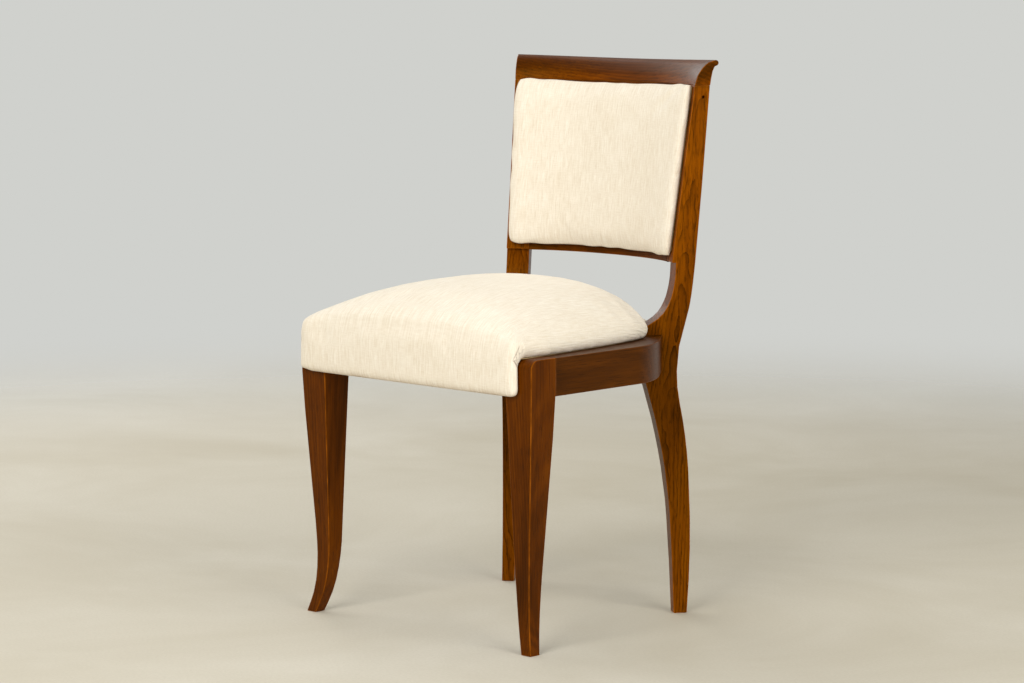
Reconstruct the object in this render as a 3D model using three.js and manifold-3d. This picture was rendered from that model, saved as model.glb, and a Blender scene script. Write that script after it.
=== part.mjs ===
// A klismos dining chair: a wooden frame with sabre front legs, rear legs that run on up as back posts,
// a rolled crest rail and a hollow back, under a domed seat and a padded back in plain cream cloth.
// Millimetres. X runs to the sitter's left, Y to the rear and Z up. While it is built, Y is zero on the
// front face of the front legs; at the end the chair is moved so that its box is centred on X and Y.

import * as THREE from 'three';
import { mergeVertices } from 'three/addons/utils/BufferGeometryUtils.js';
import Module from 'manifold-3d';

const wasm = await Module();
wasm.setup();

// Fits and counts
const fit = 0.3;
const facetFit = 0.7;
const overrun = 4;
const pinSides = 8;
const tackSides = 6;
const weld = 1e-4;
const half = 0.5;
const degree = Math.PI / 180;

// Seat frame
const railBottom = 381;
const railHeight = 57;
const railTop = railBottom + railHeight;
const sideRailThick = 24;
const sideRailRearLedge = 12;
const frontRailThick = 22;
const frontRailSetback = 4;
const rearRailThick = 24;
const rearRailSetback = 22;
const cornerStart = 235;
const cornerDraw = 2;
const cornerClear = 16;
const cornerSteps = 14;
const cornerHandleShares = { start: 0.36, across: 0.53, along: 0.62 };
const railSteps = 4;
const railCornerSteps = 6;
const tenonThick = 10;
const tenonShoulder = 10;
const frontTenonLength = 22;
const backTenonLength = 16;

// Front legs: square, sabre swept along the diagonal
const legSpan = 492;
const legTopSize = 52;
const legFootSize = 19.6;
const legSweepIn = 17.2;
const legSweepBack = 13.6;
const legTopRound = 14;
const legHeightShares = [
  0, 0.04, 0.08, 0.13, 0.185, 0.24, 0.29, 0.37, 0.45, 0.525, 0.6, 0.68, 0.76, 0.84, 0.92, 1,
];
const legInsetShares = [
  [0, 0.23], [0.04, 0.49], [0.08, 0.71], [0.13, 0.885], [0.185, 0.975], [0.24, 1],
  [0.29, 0.975], [0.37, 0.885], [0.525, 0.656], [0.68, 0.4], [0.84, 0.178], [1, 0],
];
const legSizeShares = [
  [0, 0], [0.08, 0.065], [0.185, 0.16], [0.29, 0.265], [0.37, 0.345], [0.525, 0.515], [0.68, 0.7],
  [0.84, 0.875], [1, 1],
];
const topRoundSteps = 5;

// Rear legs with the back posts: one board a side, turned in plan; "depth" runs along the board
const postInset = 67.5;
const postY = 387;
const postTurn = 35 * degree;
const postTop = 821.5;
const lapHeight = 549;
const kneeTipHeight = 447.5;
const kneeTipDepth = -48;
const kneeFlat = 28.5;
const footFrontDepth = 4;
const footBackDepth = 25.2;
const railFrontDepth = -46;
const waistHeight = 385;
const waistBackDepth = 8.5;
const bellyBackDepth = 30.4;
const lapFrontDepth = 0.1;
const lapStep = 6.3;
const topFrontDepth = 36.6;
const topBackDepth = 60.7;
const footOut = 7.3;
const topIn = 9.6;
const postFootWidth = 20;
const postRailWidth = 33.5;
const postLapWidth = 36.5;
const postTopWidth = 33;
const legFrontShares = [
  [0, 0], [0.157, 0.036], [0.315, 0.092], [0.457, 0.164], [0.54, 0.235], [0.627, 0.328], [0.71, 0.445],
  [0.795, 0.582], [0.9055, 0.808], [1, 1],
];
const legBellyShares = [[0, 0], [0.17, 0.32], [0.5, 0.78], [0.75, 0.955], [1, 1]];
const bellyHeightShare = 0.36;
const legWaistShares = [
  [0, 1], [0.19, 0.936], [0.38, 0.836], [0.51, 0.7], [0.635, 0.52], [0.765, 0.25], [0.89, 0.04], [1, 0],
];
const kneeShares = [
  [0, 0], [0.064, 0.217], [0.143, 0.452], [0.25, 0.656], [0.352, 0.768], [0.463, 0.858], [0.572, 0.912],
  [0.675, 0.952], [0.813, 0.983], [1, 1],
];
const postBackShares = [
  [0, 0], [0.057, 0.036], [0.1145, 0.147], [0.172, 0.274], [0.229, 0.391], [0.314, 0.494], [0.483, 0.638],
  [0.71, 0.806], [1, 1],
];
const postOutShares = [
  [0, 1], [0.12, 0.896], [0.24, 0.828], [0.365, 0.704], [0.464, 0.639], [0.61, 0.576], [0.668, 0.51],
  [0.73, 0.408], [0.828, 0.243], [0.921, 0.118], [1, 0],
];
const lowerSteps = 15;
const kneeSteps = 13;
const postSteps = 9;
const pegHoleRadius = 2.8;
const pegHoleDeep = 9;
const pegHoleDrop = 17.5;
const pegHoleDepthShare = 0.64;

// Back: crest rail, two cross rails and their hollow curve
const backBow = 31;
const bowPower = 2.4;
const crestThick = 24.6;
const crestRise = 39.4;
const crestBeadRadius = 4.5;
const crestDip = 3.6;
const crestBeadFrom = 100 * degree;
const crestBeadTo = -80 * degree;
const crestBeadSides = 6;
const crestStations = 16;
const crestFrontShares = [
  [0, 0], [0.38, 0.104], [0.53, 0.2], [0.68, 0.312], [0.81, 0.445], [0.906, 0.565], [0.963, 0.755],
];
const crestRearShares = [[0.75, 0.84], [0.56, 0.757], [0.26, 0.696]];
const crestReach = 37.5;
const lowerRailDrop = 1.2;
const lowerRailHeight = 44;
const topRailHeight = 38;
const topTenonMargin = 3;
const backRailThick = 20;
const backRailStations = 14;
const dowelRadius = 4.5;
const dowelLength = 28;
const dowelSpreadShare = 0.27;
const jointDowelRadius = 4;
const jointDowelLength = 30;
const jointDowelDepth = -31;
const jointDowelRise = 16;

// Seat upholstery
const seatFrontProud = 13;
const seatRearY = 398;
const seatFrontInset = 15;
const seatFrontEdge = 457.5;
const seatRearEdge = 447;
const seatCrown = 77;
const seatDropFront = 382.5;
const lipOverlap = 8;
const lipCornerSteps = 4;
const apronRow = 2;
const apronInset = 42.5;
const apronDepth = 16;
const apronRise = 6;
const seatOutlineShares = [
  [0, 0.944], [0.0125, 0.987], [0.0316, 0.997], [0.17, 0.978], [0.4, 0.938],
  [0.606, 0.892], [0.737, 0.843], [0.825, 0.784], [0.859, 0.71], [0.876, 0.64], [0.91, 0.55], [0.93, 0.545], [0.944, 0.56], [1, 0.625],
];
const crownSidePower = 2.47;
const crownSideRound = 0.54;
const crownEndPower = 2.11;
const crownFrontRound = 0.345;
const crownRearRound = 0.63;
const crownPeakShare = 0.624;
const seatColumns = 16;
const seatRows = 14;
const coverThick = 1.6;
const springCount = 5;
const springTurns = 3;
const springEndRadius = 34;
const springWaistShare = 0.62;
const springWire = 1.6;
const springStepsPerTurn = 8;
const springWireSides = 4;
const springSpread = 78;
const springSlack = 3;
const springSeat = 0.25;
const deckRise = 34;
const deckColumns = 8;
const webbingWidth = 50;
const webbingThick = 1.2;
const weaveBite = 0.1;
const webbingLengthwise = 4;
const webbingAcross = 4;
const webbingLap = 13;
const hessianThick = 0.8;
const dustThick = 0.8;
const dustMargin = 9;
const dustEdge = 2;
const dustCornerClear = 24;
const dustSideSteps = 3;
const dustCornerSteps = 4;
const dustRearSteps = 8;
const tackEdge = 5;
const tackHeadRadius = 3.6;
const tackHeadThick = 0.9;
const tackShankRadius = 1.1;
const tackShankLength = 9;
const tackPitch = 72;
const rearTackShares = [-0.65, 0, 0.65];

// Back upholstery
const padMargin = 5;
const padBottomLap = 11.5;
const padTopLap = 2.5;
const padHeight = 21;
const padSidePower = 8;
const padSideRound = 0.42;
const padColumns = 14;
const padRows = 10;
const padRoom = 3.4;
const padSlack = 1.2;
const liningThick = 0.8;
const boardThick = 4;
const boardDepth = 9;
const outsideCrown = 4;
const outsidePower = 4;
const outsideRows = 6;
const boardRows = 4;

// Corner blocks and their screws
const blockFit = 0.7;
const blockSteps = 3;
const blockReach = 62;
const blockHeight = 36;
const screwRadius = 2;
const screwHeadRadius = 4.2;
const screwHeadHeight = 3;
const screwGrip = 22;
const screwBite = 16;

// Finishes
const polished = { color: 0x7a3d14, roughness: 0.42 };
const shaded = { color: 0x63300f, roughness: 0.42 };
const beech = { color: 0xb98d5c, roughness: 0.75 };
const cream = { color: 0xeadfc6, roughness: 0.9 };
const stuffing = { color: 0xd9c9a3, roughness: 0.95 };
const jute = { color: 0xa88f5e, roughness: 0.95 };
const cambric = { color: 0x24221f, roughness: 0.95 };
const steel = { color: 0x8f8d88, roughness: 0.4, metalness: 0.9 };

const chair = new THREE.Group();

// Curve through a table of [at, value] rows, with no overshoot between them.
function along(table, at) {
  const last = table.length - 1;
  if (at <= table[0][0]) return table[0][1];
  if (at >= table[last][0]) return table[last][1];
  const k = table.findIndex((row, i) => i < last && at <= table[i + 1][0]);
  const rise = (i) => (table[i + 1][1] - table[i][1]) / (table[i + 1][0] - table[i][0]);
  const tangent = (i) => {
    if (i === 0) return rise(0);
    if (i === last) return rise(last - 1);
    const before = rise(i - 1);
    const after = rise(i);
    return before * after <= 0 ? 0 : (2 * before * after) / (before + after);
  };
  const span = table[k + 1][0] - table[k][0];
  const s = (at - table[k][0]) / span;
  const s2 = s * s;
  const s3 = s2 * s;
  return (2 * s3 - 3 * s2 + 1) * table[k][1] + (s3 - 2 * s2 + s) * span * tangent(k)
    + (3 * s2 - 2 * s3) * table[k + 1][1] + (s3 - s2) * span * tangent(k + 1);
}

function mix(a, b, share) {
  return a + (b - a) * share;
}

function steps(from, to, count) {
  return Array.from({ length: count + 1 }, (unused, i) => mix(from, to, i / count));
}

// A closed geometry from points and triangles.
function solid(points, faces) {
  const geometry = new THREE.BufferGeometry();
  const numbers = points.flatMap((p) => [p.x, p.y, p.z]);
  geometry.setAttribute('position', new THREE.Float32BufferAttribute(numbers, 3));
  geometry.setIndex(faces.flat());
  return geometry;
}

// Turns a geometry the right way out if its volume comes out negative.
function outward(geometry) {
  const position = geometry.getAttribute('position');
  const index = geometry.getIndex().array;
  const a = new THREE.Vector3();
  const b = new THREE.Vector3();
  const c = new THREE.Vector3();
  let volume = 0;
  for (let i = 0; i < index.length; i += 3) {
    a.fromBufferAttribute(position, index[i]);
    b.fromBufferAttribute(position, index[i + 1]);
    c.fromBufferAttribute(position, index[i + 2]);
    volume += a.dot(b.cross(c));
  }
  if (volume < 0) {
    for (let i = 0; i < index.length; i += 3) {
      const kept = index[i];
      index[i] = index[i + 1];
      index[i + 1] = kept;
    }
  }
  return geometry;
}

// A body through rings of points, with its end faces cut into triangles from the flat outline given.
function loft(rings, outline) {
  const size = rings[0].length;
  const faces = [];
  for (let r = 0; r < rings.length - 1; r += 1) {
    for (let i = 0; i < size; i += 1) {
      const next = (i + 1) % size;
      const a = r * size + i;
      const b = r * size + next;
      const c = (r + 1) * size + next;
      const d = (r + 1) * size + i;
      faces.push([a, b, c], [a, c, d]);
    }
  }
  const lastRing = (rings.length - 1) * size;
  const anticlockwise = THREE.ShapeUtils.area(outline) > 0;
  THREE.ShapeUtils.triangulateShape(outline, []).forEach(([a, b, c]) => {
    const [near, far] = anticlockwise ? [b, c] : [c, b];
    faces.push([a, far, near], [lastRing + a, lastRing + near, lastRing + far]);
  });
  return outward(solid(rings.flat(), faces));
}

// A body between two grids of points that share their counts: an upper skin, a lower skin and the rim.
function slab(upper, lower) {
  const rows = upper.length;
  const columns = upper[0].length;
  const at = (r, c) => r * columns + c;
  const below = rows * columns;
  const faces = [];
  for (let r = 0; r < rows - 1; r += 1) {
    for (let c = 0; c < columns - 1; c += 1) {
      const corners = [at(r, c), at(r, c + 1), at(r + 1, c + 1), at(r + 1, c)];
      faces.push([corners[0], corners[1], corners[2]], [corners[0], corners[2], corners[3]]);
      const under = corners.map((i) => i + below);
      faces.push([under[0], under[2], under[1]], [under[0], under[3], under[2]]);
    }
  }
  const rim = [];
  for (let c = 0; c < columns - 1; c += 1) rim.push(at(0, c));
  for (let r = 0; r < rows - 1; r += 1) rim.push(at(r, columns - 1));
  for (let c = columns - 1; c > 0; c -= 1) rim.push(at(rows - 1, c));
  for (let r = rows - 1; r > 0; r -= 1) rim.push(at(r, 0));
  rim.forEach((i, k) => {
    const j = rim[(k + 1) % rim.length];
    faces.push([i, i + below, j + below], [i, j + below, j]);
  });
  return outward(solid([...upper.flat(), ...lower.flat()], faces));
}

function toManifold(geometry) {
  const bare = geometry.clone();
  bare.deleteAttribute('normal');
  bare.deleteAttribute('uv');
  const merged = mergeVertices(bare, weld);
  return new wasm.Manifold(new wasm.Mesh({
    numProp: 3,
    vertProperties: new Float32Array(merged.getAttribute('position').array),
    triVerts: new Uint32Array(merged.getIndex().array),
  }));
}

function fromManifold(body) {
  const mesh = body.getMesh();
  const geometry = new THREE.BufferGeometry();
  geometry.setAttribute('position', new THREE.BufferAttribute(new Float32Array(mesh.vertProperties), 3));
  geometry.setIndex(new THREE.BufferAttribute(new Uint32Array(mesh.triVerts), 1));
  return geometry;
}

// A straight prism from a plan outline between two heights.
function prism(outline, bottom, top) {
  const settings = { depth: top - bottom, bevelEnabled: false };
  const geometry = new THREE.ExtrudeGeometry(new THREE.Shape(outline), settings);
  geometry.translate(0, 0, bottom);
  return toManifold(geometry);
}

const xWay = new THREE.Vector3(1, 0, 0);
const yWay = new THREE.Vector3(0, 1, 0);

// A box at a point, with its length along a plan direction.
function block(centre, direction, length, thick, tall) {
  const geometry = new THREE.BoxGeometry(length, thick, tall);
  geometry.rotateZ(Math.atan2(direction.y, direction.x));
  geometry.translate(centre.x, centre.y, centre.z);
  return toManifold(geometry);
}

// A round pin between two points.
function pin(from, to, radius, sides = pinSides) {
  const way = new THREE.Vector3().subVectors(to, from);
  const geometry = new THREE.CylinderGeometry(radius, radius, way.length(), sides);
  const turn = new THREE.Quaternion().setFromUnitVectors(yWay, way.clone().normalize());
  geometry.applyQuaternion(turn);
  const middle = new THREE.Vector3().addVectors(from, to).multiplyScalar(half);
  geometry.translate(middle.x, middle.y, middle.z);
  return toManifold(geometry);
}

function join(bodies) {
  return bodies.reduce((whole, body) => whole.add(body));
}

function cut(body, tools) {
  return tools.reduce((rest, tool) => rest.subtract(tool), body);
}

// The same body on the other side of the chair's middle plane.
function mirrored(geometry) {
  const other = geometry.clone();
  other.scale(-1, 1, 1);
  return outward(other);
}

function add(name, geometry, finish) {
  const shape = geometry.clone();
  shape.computeVertexNormals();
  const mesh = new THREE.Mesh(shape, new THREE.MeshStandardMaterial(finish));
  mesh.name = name;
  chair.add(mesh);
}

function addPair(name, geometry, finish) {
  add(`${name}_left`, geometry, finish);
  add(`${name}_right`, mirrored(geometry), finish);
}

// Numbered copies of a fastener that the chair has on both sides.
function addPairs(name, bodies, finish) {
  bodies.forEach((body, i) => addPair(`${name}_${i + 1}`, fromManifold(body), finish));
}

// Places along the rear board: depth runs to the rear and outward, out is square to its outer face.
const depthWay = new THREE.Vector3(Math.sin(postTurn), Math.cos(postTurn), 0);
const outWay = new THREE.Vector3(Math.cos(postTurn), -Math.sin(postTurn), 0);

const legX = legSpan * half;
const postX = legX - postInset;

function postPlace(depth, out, z) {
  const place = new THREE.Vector3(postX, postY, z);
  return place.addScaledVector(depthWay, depth).addScaledVector(outWay, out);
}

function postOut(z) {
  return mix(-topIn, footOut, along(postOutShares, z / postTop));
}

const postWidths = [
  [0, postFootWidth], [railBottom, postRailWidth], [lapHeight, postLapWidth], [postTop, postTopWidth],
];

function postWidth(z) {
  return along(postWidths, z);
}

function lowerFront(z) {
  return mix(footFrontDepth, railFrontDepth, along(legFrontShares, z / railBottom));
}

function kneeFront(z) {
  const share = (z - kneeTipHeight) / (lapHeight - kneeTipHeight);
  return mix(kneeTipDepth, lapFrontDepth + lapStep, along(kneeShares, share));
}

function postFront(z) {
  return mix(lapFrontDepth, topFrontDepth, (z - lapHeight) / (postTop - lapHeight));
}

function postBack(z) {
  const belly = waistHeight * bellyHeightShare;
  if (z < belly) return mix(footBackDepth, bellyBackDepth, along(legBellyShares, z / belly));
  if (z < waistHeight) {
    return mix(waistBackDepth, bellyBackDepth, along(legWaistShares, (z - belly) / (waistHeight - belly)));
  }
  const share = (z - waistHeight) / (postTop - waistHeight);
  return mix(waistBackDepth, topBackDepth, along(postBackShares, share));
}

// Four corners of the rear board at one height, grown by a clearance where another piece is cut to it.
function postRing(front, z, grow) {
  const out = postOut(z);
  const back = postBack(z);
  const inner = out - postWidth(z);
  return [
    postPlace(front - grow, out + grow, z),
    postPlace(back + grow, out + grow, z),
    postPlace(back + grow, inner - grow, z),
    postPlace(front - grow, inner - grow, z),
  ];
}

const ringOutline = [[0, 0], [1, 0], [1, 1], [0, 1]].map(([x, y]) => new THREE.Vector2(x, y));

function rearBoard(grow) {
  const rings = steps(0, railBottom, lowerSteps).map((z) => postRing(lowerFront(z), z, grow));
  rings.push(postRing(kneeTipDepth, kneeTipHeight - kneeFlat, grow));
  steps(kneeTipHeight, lapHeight, kneeSteps).forEach((z) => rings.push(postRing(kneeFront(z), z, grow)));
  const lapRings = steps(lapHeight, postTop, postSteps).map((z) => postRing(postFront(z), z, grow));
  const lower = toManifold(loft(rings, ringOutline));
  const upper = toManifold(loft(lapRings, ringOutline));
  return lower.add(upper);
}

// Front face of the back at a height: the posts' own front faces, then the hollow between them.
function backFace(x, z) {
  const front = postFront(z);
  const outer = postPlace(front, postOut(z), z);
  const inner = postPlace(front, postOut(z) - postWidth(z), z);
  const reach = Math.abs(x);
  if (reach > inner.x) return mix(inner.y, outer.y, (reach - inner.x) / (outer.x - inner.x));
  return inner.y + backBow * (1 - (reach / inner.x) ** bowPower);
}

// Point of the back by its distance from the middle plane, depth behind the front face and height.
function backPoint(x, depth, z, baseZ = z) {
  const reach = postPlace(postFront(baseZ), postOut(baseZ), baseZ).x;
  const turn = postTurn * (x / reach);
  return new THREE.Vector3(x + depth * Math.sin(turn), backFace(x, baseZ) + depth * Math.cos(turn), z);
}

// A rail of the back between two heights, its ends just inside both boards.
function backRail(bottom, top) {
  const middle = mix(bottom, top, half);
  const inner = postPlace(postFront(middle), postOut(middle) - postWidth(middle), middle).x;
  const stations = [-inner - overrun, ...steps(-inner, inner, backRailStations), inner + overrun];
  const rings = stations.map((x) => [
    backPoint(x, 0, bottom), backPoint(x, backRailThick, bottom),
    backPoint(x, backRailThick, top), backPoint(x, 0, top),
  ]);
  return toManifold(loft(rings, ringOutline));
}

// Plan shapes of the seat frame
const seatHalfFront = legX - seatFrontInset;
const apronHalf = postX - apronInset;
const legInnerX = legX - legTopSize;
const cornerEndY = postPlace(kneeTipDepth, 0, 0).y - cornerClear;

function sideRailOuter() {
  const end = postPlace(jointDowelDepth * half, postOut(railBottom), 0);
  const curve = new THREE.CubicBezierCurve(
    new THREE.Vector2(legX - cornerDraw, cornerStart),
    new THREE.Vector2(legX - cornerDraw, mix(cornerStart, end.y, cornerHandleShares.start)),
    new THREE.Vector2(
      mix(end.x, legX, cornerHandleShares.across),
      mix(cornerStart, end.y, cornerHandleShares.along),
    ),
    new THREE.Vector2(end.x, end.y),
  );
  return curve.getPoints(cornerSteps);
}

function seatHalf(y) {
  return seatHalfFront * along(seatOutlineShares, (y + seatFrontProud) / (seatRearY + seatFrontProud));
}

function frontLeg() {
  const square = (sweep, size, z, recess = 0) => {
    const outer = legX - legSweepIn * sweep;
    const front = legSweepBack * sweep;
    return [
      new THREE.Vector3(outer, front + recess, z), new THREE.Vector3(outer, front + size, z),
      new THREE.Vector3(outer - size, front + size, z), new THREE.Vector3(outer - size, front + recess, z),
    ];
  };
  const rings = legHeightShares.map((share) => square(
    along(legInsetShares, share),
    mix(legFootSize, legTopSize, along(legSizeShares, share)),
    railBottom * share,
  ));
  steps(0, Math.PI * half, topRoundSteps).forEach((angle) => {
    const z = railTop - legTopRound * (1 - Math.sin(angle));
    rings.push(square(0, legTopSize, z, legTopRound * (1 - Math.cos(angle))));
  });
  return toManifold(loft(rings, ringOutline));
}

// Joints of the seat frame. A tenon is made with no clearance and its mortise with one.
const frontRailBottom = seatDropFront + coverThick + fit;
const frontRailY = frontRailSetback + frontRailThick * half;

function frontRailTenon(grow) {
  const length = frontTenonLength + overrun;
  const x = legInnerX + (frontTenonLength - overrun) * half;
  const centre = new THREE.Vector3(x, frontRailY, mix(frontRailBottom, railTop, half));
  const tall = railTop - frontRailBottom - 2 * tenonShoulder;
  return block(centre, xWay, length + 2 * grow, tenonThick + 2 * grow, tall + 2 * grow);
}

function sideRailTenon(grow) {
  const length = frontTenonLength + overrun;
  const centre = new THREE.Vector3(
    legX - sideRailThick * half,
    legTopSize - (frontTenonLength - overrun) * half,
    mix(railBottom, railTop, half),
  );
  const tall = railHeight - 2 * tenonShoulder;
  return block(centre, yWay, length + 2 * grow, tenonThick + 2 * grow, tall + 2 * grow);
}

function postTenon(depth, z, tall, grow) {
  const inner = postOut(z) - postWidth(z);
  const out = inner + (backTenonLength - overrun) * half;
  const length = backTenonLength + overrun;
  return block(postPlace(depth, out, z), outWay, length + 2 * grow, tenonThick + 2 * grow, tall + 2 * grow);
}

function bothSides(body) {
  return body.add(toManifold(mirrored(fromManifold(body))));
}

// Side rail: straight along the seat, then round the rear corner to the outer face of the rear board.
function sideRail(grow = 0) {
  const sideY = steps(legTopSize, cornerStart, railSteps);
  const cornerY = steps(cornerStart, cornerEndY, railCornerSteps);
  const inner = [...sideY, ...cornerY.slice(1)]
    .map((y) => new THREE.Vector2(seatHalf(y) - sideRailRearLedge - grow, y));
  const buried = [jointDowelDepth * half, kneeTipDepth + overrun]
    .map((depth) => postPlace(depth, -2 * overrun, 0));
  const outline = [
    new THREE.Vector2(legX, legTopSize),
    ...sideRailOuter(),
    ...buried.map((place) => new THREE.Vector2(place.x, place.y)),
    ...inner.reverse(),
  ];
  return prism(outline, railBottom, railTop);
}

function rearRailPoint(x, depth, z) {
  const inner = postPlace(-rearRailSetback, postOut(railBottom) - postWidth(railBottom), 0);
  const turn = postTurn * (x / inner.x);
  const y = inner.y + backBow * (1 - (Math.abs(x) / inner.x) ** bowPower);
  return new THREE.Vector3(x + depth * Math.sin(turn), y + depth * Math.cos(turn), z);
}

function rearRail() {
  const reach = postPlace(-rearRailSetback, postOut(railBottom) - postWidth(railBottom), 0).x + overrun;
  const rings = steps(-reach, reach, backRailStations).map((x) => [
    rearRailPoint(x, 0, railBottom), rearRailPoint(x, rearRailThick, railBottom),
    rearRailPoint(x, rearRailThick, railTop), rearRailPoint(x, 0, railTop),
  ]);
  return toManifold(loft(rings, ringOutline));
}

// Crest rail: rounded over at the front and back to a bead along its rear edge.
function crestProfile() {
  const at = ([rise, depth]) => new THREE.Vector2(depth * crestReach, rise * crestRise);
  const beadX = crestReach - crestBeadRadius;
  const beadY = crestRise - crestBeadRadius;
  const bead = steps(crestBeadFrom, crestBeadTo, crestBeadSides).map((angle) => new THREE.Vector2(
    beadX + crestBeadRadius * Math.cos(angle), beadY + crestBeadRadius * Math.sin(angle),
  ));
  return [...crestFrontShares.map(at), ...bead, ...crestRearShares.map(at), new THREE.Vector2(crestThick, 0)];
}

function crest() {
  const profile = crestProfile();
  const reach = postPlace(postFront(postTop), postOut(postTop), postTop).x;
  const rings = steps(-reach, reach, crestStations).map((x) => {
    const dip = crestDip * (1 - (x / reach) ** 2);
    return profile.map((p) => backPoint(x, p.x, postTop + p.y * (1 - dip / crestRise), postTop));
  });
  return toManifold(loft(rings, profile));
}

function crestDowels(grow) {
  const width = postWidth(postTop);
  return [dowelSpreadShare, 1 - dowelSpreadShare].map((share) => {
    const out = postOut(postTop) - width * share;
    const depth = mix(topFrontDepth, topBackDepth, half);
    const reach = dowelLength * half + grow;
    const low = postPlace(depth, out, postTop - reach);
    const high = postPlace(depth, out, postTop + reach);
    return pin(low, high, dowelRadius + grow);
  });
}

function seatJointDowels(grow) {
  const reach = jointDowelLength * half + grow;
  return [-jointDowelRise * half, jointDowelRise * half].map((rise) => {
    const z = mix(railBottom, railTop, half) + rise;
    const inner = postPlace(jointDowelDepth, postOut(z) - reach, z);
    const outer = postPlace(jointDowelDepth, postOut(z) + reach, z);
    return pin(inner, outer, jointDowelRadius + grow);
  });
}

function pegHole() {
  const z = postTop - pegHoleDrop;
  const depth = mix(postFront(z), postBack(z), pegHoleDepthShare);
  const bottom = postPlace(depth, postOut(z) - pegHoleDeep, z);
  return pin(bottom, postPlace(depth, postOut(z) + overrun, z), pegHoleRadius);
}

const boardGrown = rearBoard(fit);
const legSolid = frontLeg();
const seatTenonZ = mix(railBottom, railTop, half);
const seatTenonTall = railHeight - 2 * tenonShoulder;
const lowerTenonZ = lapHeight + lowerRailHeight * half;
const lowerTenonTall = lowerRailHeight - tenonShoulder;
const topTenonTall = topRailHeight - dowelLength * half - topTenonMargin;
const topTenonZ = postTop - topRailHeight + (topTenonTall + topTenonMargin) * half;
const rearTenonDepth = rearRailThick * half - rearRailSetback;
const lowerTenonDepth = postFront(lowerTenonZ) + backRailThick * half;
const topTenonDepth = postFront(topTenonZ) + backRailThick * half;

function backTenons(grow) {
  return [
    postTenon(rearTenonDepth, seatTenonZ, seatTenonTall, grow),
    postTenon(lowerTenonDepth, lowerTenonZ, lowerTenonTall, grow),
    postTenon(topTenonDepth, topTenonZ, topTenonTall, grow),
  ];
}

// A rail between the posts: cut to both boards, then given its tenons.
function betweenPosts(body, tenon) {
  const bothBoards = bothSides(boardGrown);
  return body.subtract(bothBoards).add(bothSides(tenon));
}

const [rearTenon, lowerTenon, topTenon] = backTenons(0);
const frontRailBox = block(
  new THREE.Vector3(0, frontRailY, mix(frontRailBottom, railTop, half)),
  xWay, 2 * legInnerX, frontRailThick, railTop - frontRailBottom,
);

// Corner blocks, glued into the inner corners of the seat frame and screwed to its rails.
function frontBlockOutline() {
  const back = frontRailSetback + frontRailThick + fit;
  const sideAt = (y) => seatHalf(y) - sideRailRearLedge - fit;
  const inner = legInnerX - fit;
  const y0 = legTopSize + fit;
  const y1 = y0 + blockReach;
  return [[inner, back], [inner, y0], [sideAt(y0), y0], [sideAt(y1), y1], [inner - blockReach, back]]
    .map(([x, y]) => new THREE.Vector2(x, y));
}

// It runs into the side rail, which is then cut from it.
function rearBlockOutline() {
  const sideAt = (y) => seatHalf(y) - sideRailRearLedge * half;
  const corner = postPlace(kneeTipDepth - blockFit, 0, 0);
  const far = postPlace(kneeTipDepth - blockFit, -postRailWidth, 0);
  const sideY = steps(cornerEndY, cornerEndY - blockReach, blockSteps);
  return [
    new THREE.Vector2(far.x, far.y),
    new THREE.Vector2(corner.x, corner.y),
    ...sideY.map((y) => new THREE.Vector2(sideAt(y), y)),
  ];
}

function screw(face, way, grow, pocket) {
  const seat = face.clone().addScaledVector(way, -screwGrip);
  const tip = face.clone().addScaledVector(way, screwBite + grow);
  const top = seat.clone().addScaledVector(way, -screwHeadHeight - pocket);
  const under = seat.clone().addScaledVector(way, grow);
  return pin(seat, tip, screwRadius + grow).add(pin(top, under, screwHeadRadius + grow));
}

function frontBlockScrews(grow = 0, pocket = 0) {
  const z = mix(railBottom, railTop, half);
  const back = frontRailSetback + frontRailThick;
  const y = legTopSize + blockReach * half;
  const side = seatHalf(y) - sideRailRearLedge;
  return [
    screw(new THREE.Vector3(legInnerX - blockReach * half, back, z), yWay.clone().negate(), grow, pocket),
    screw(new THREE.Vector3(side, y, z), xWay, grow, pocket),
  ];
}

function rearBlockScrews(grow = 0, pocket = 0) {
  const z = mix(railBottom, railTop, half);
  const y = cornerEndY - blockReach * half;
  const side = seatHalf(y) - sideRailRearLedge;
  const face = postPlace(kneeTipDepth, -postRailWidth * half, z);
  return [
    screw(new THREE.Vector3(side, y, z), xWay, grow, pocket),
    screw(face, depthWay, grow, pocket),
  ];
}

// Frame solids, each cut for what passes into it
const frontScrewHoles = frontBlockScrews(fit, blockReach);
const rearScrewHoles = rearBlockScrews(fit, blockReach);
const blockBottom = railBottom + (railHeight - blockHeight) * half;
const blockTop = blockBottom + blockHeight;
const frontBlock = cut(prism(frontBlockOutline(), blockBottom, blockTop), frontScrewHoles);
const rearBlock = cut(
  prism(rearBlockOutline(), blockBottom, blockTop),
  [boardGrown, sideRail(blockFit), ...rearScrewHoles],
);
const frontLegCut = cut(legSolid, [frontRailTenon(fit), sideRailTenon(fit)]);
const rearBoardCut = cut(rearBoard(0), [
  ...backTenons(fit), ...crestDowels(fit), ...seatJointDowels(fit), pegHole(), ...rearScrewHoles,
]);

// Under the seat: woven webbing, springs tied to it, a sheet of hessian over them, and a dust cover below.
const wave = webbingThick * half - weaveBite;
const webbingMiddle = railBottom - fit - webbingThick * half;

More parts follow.
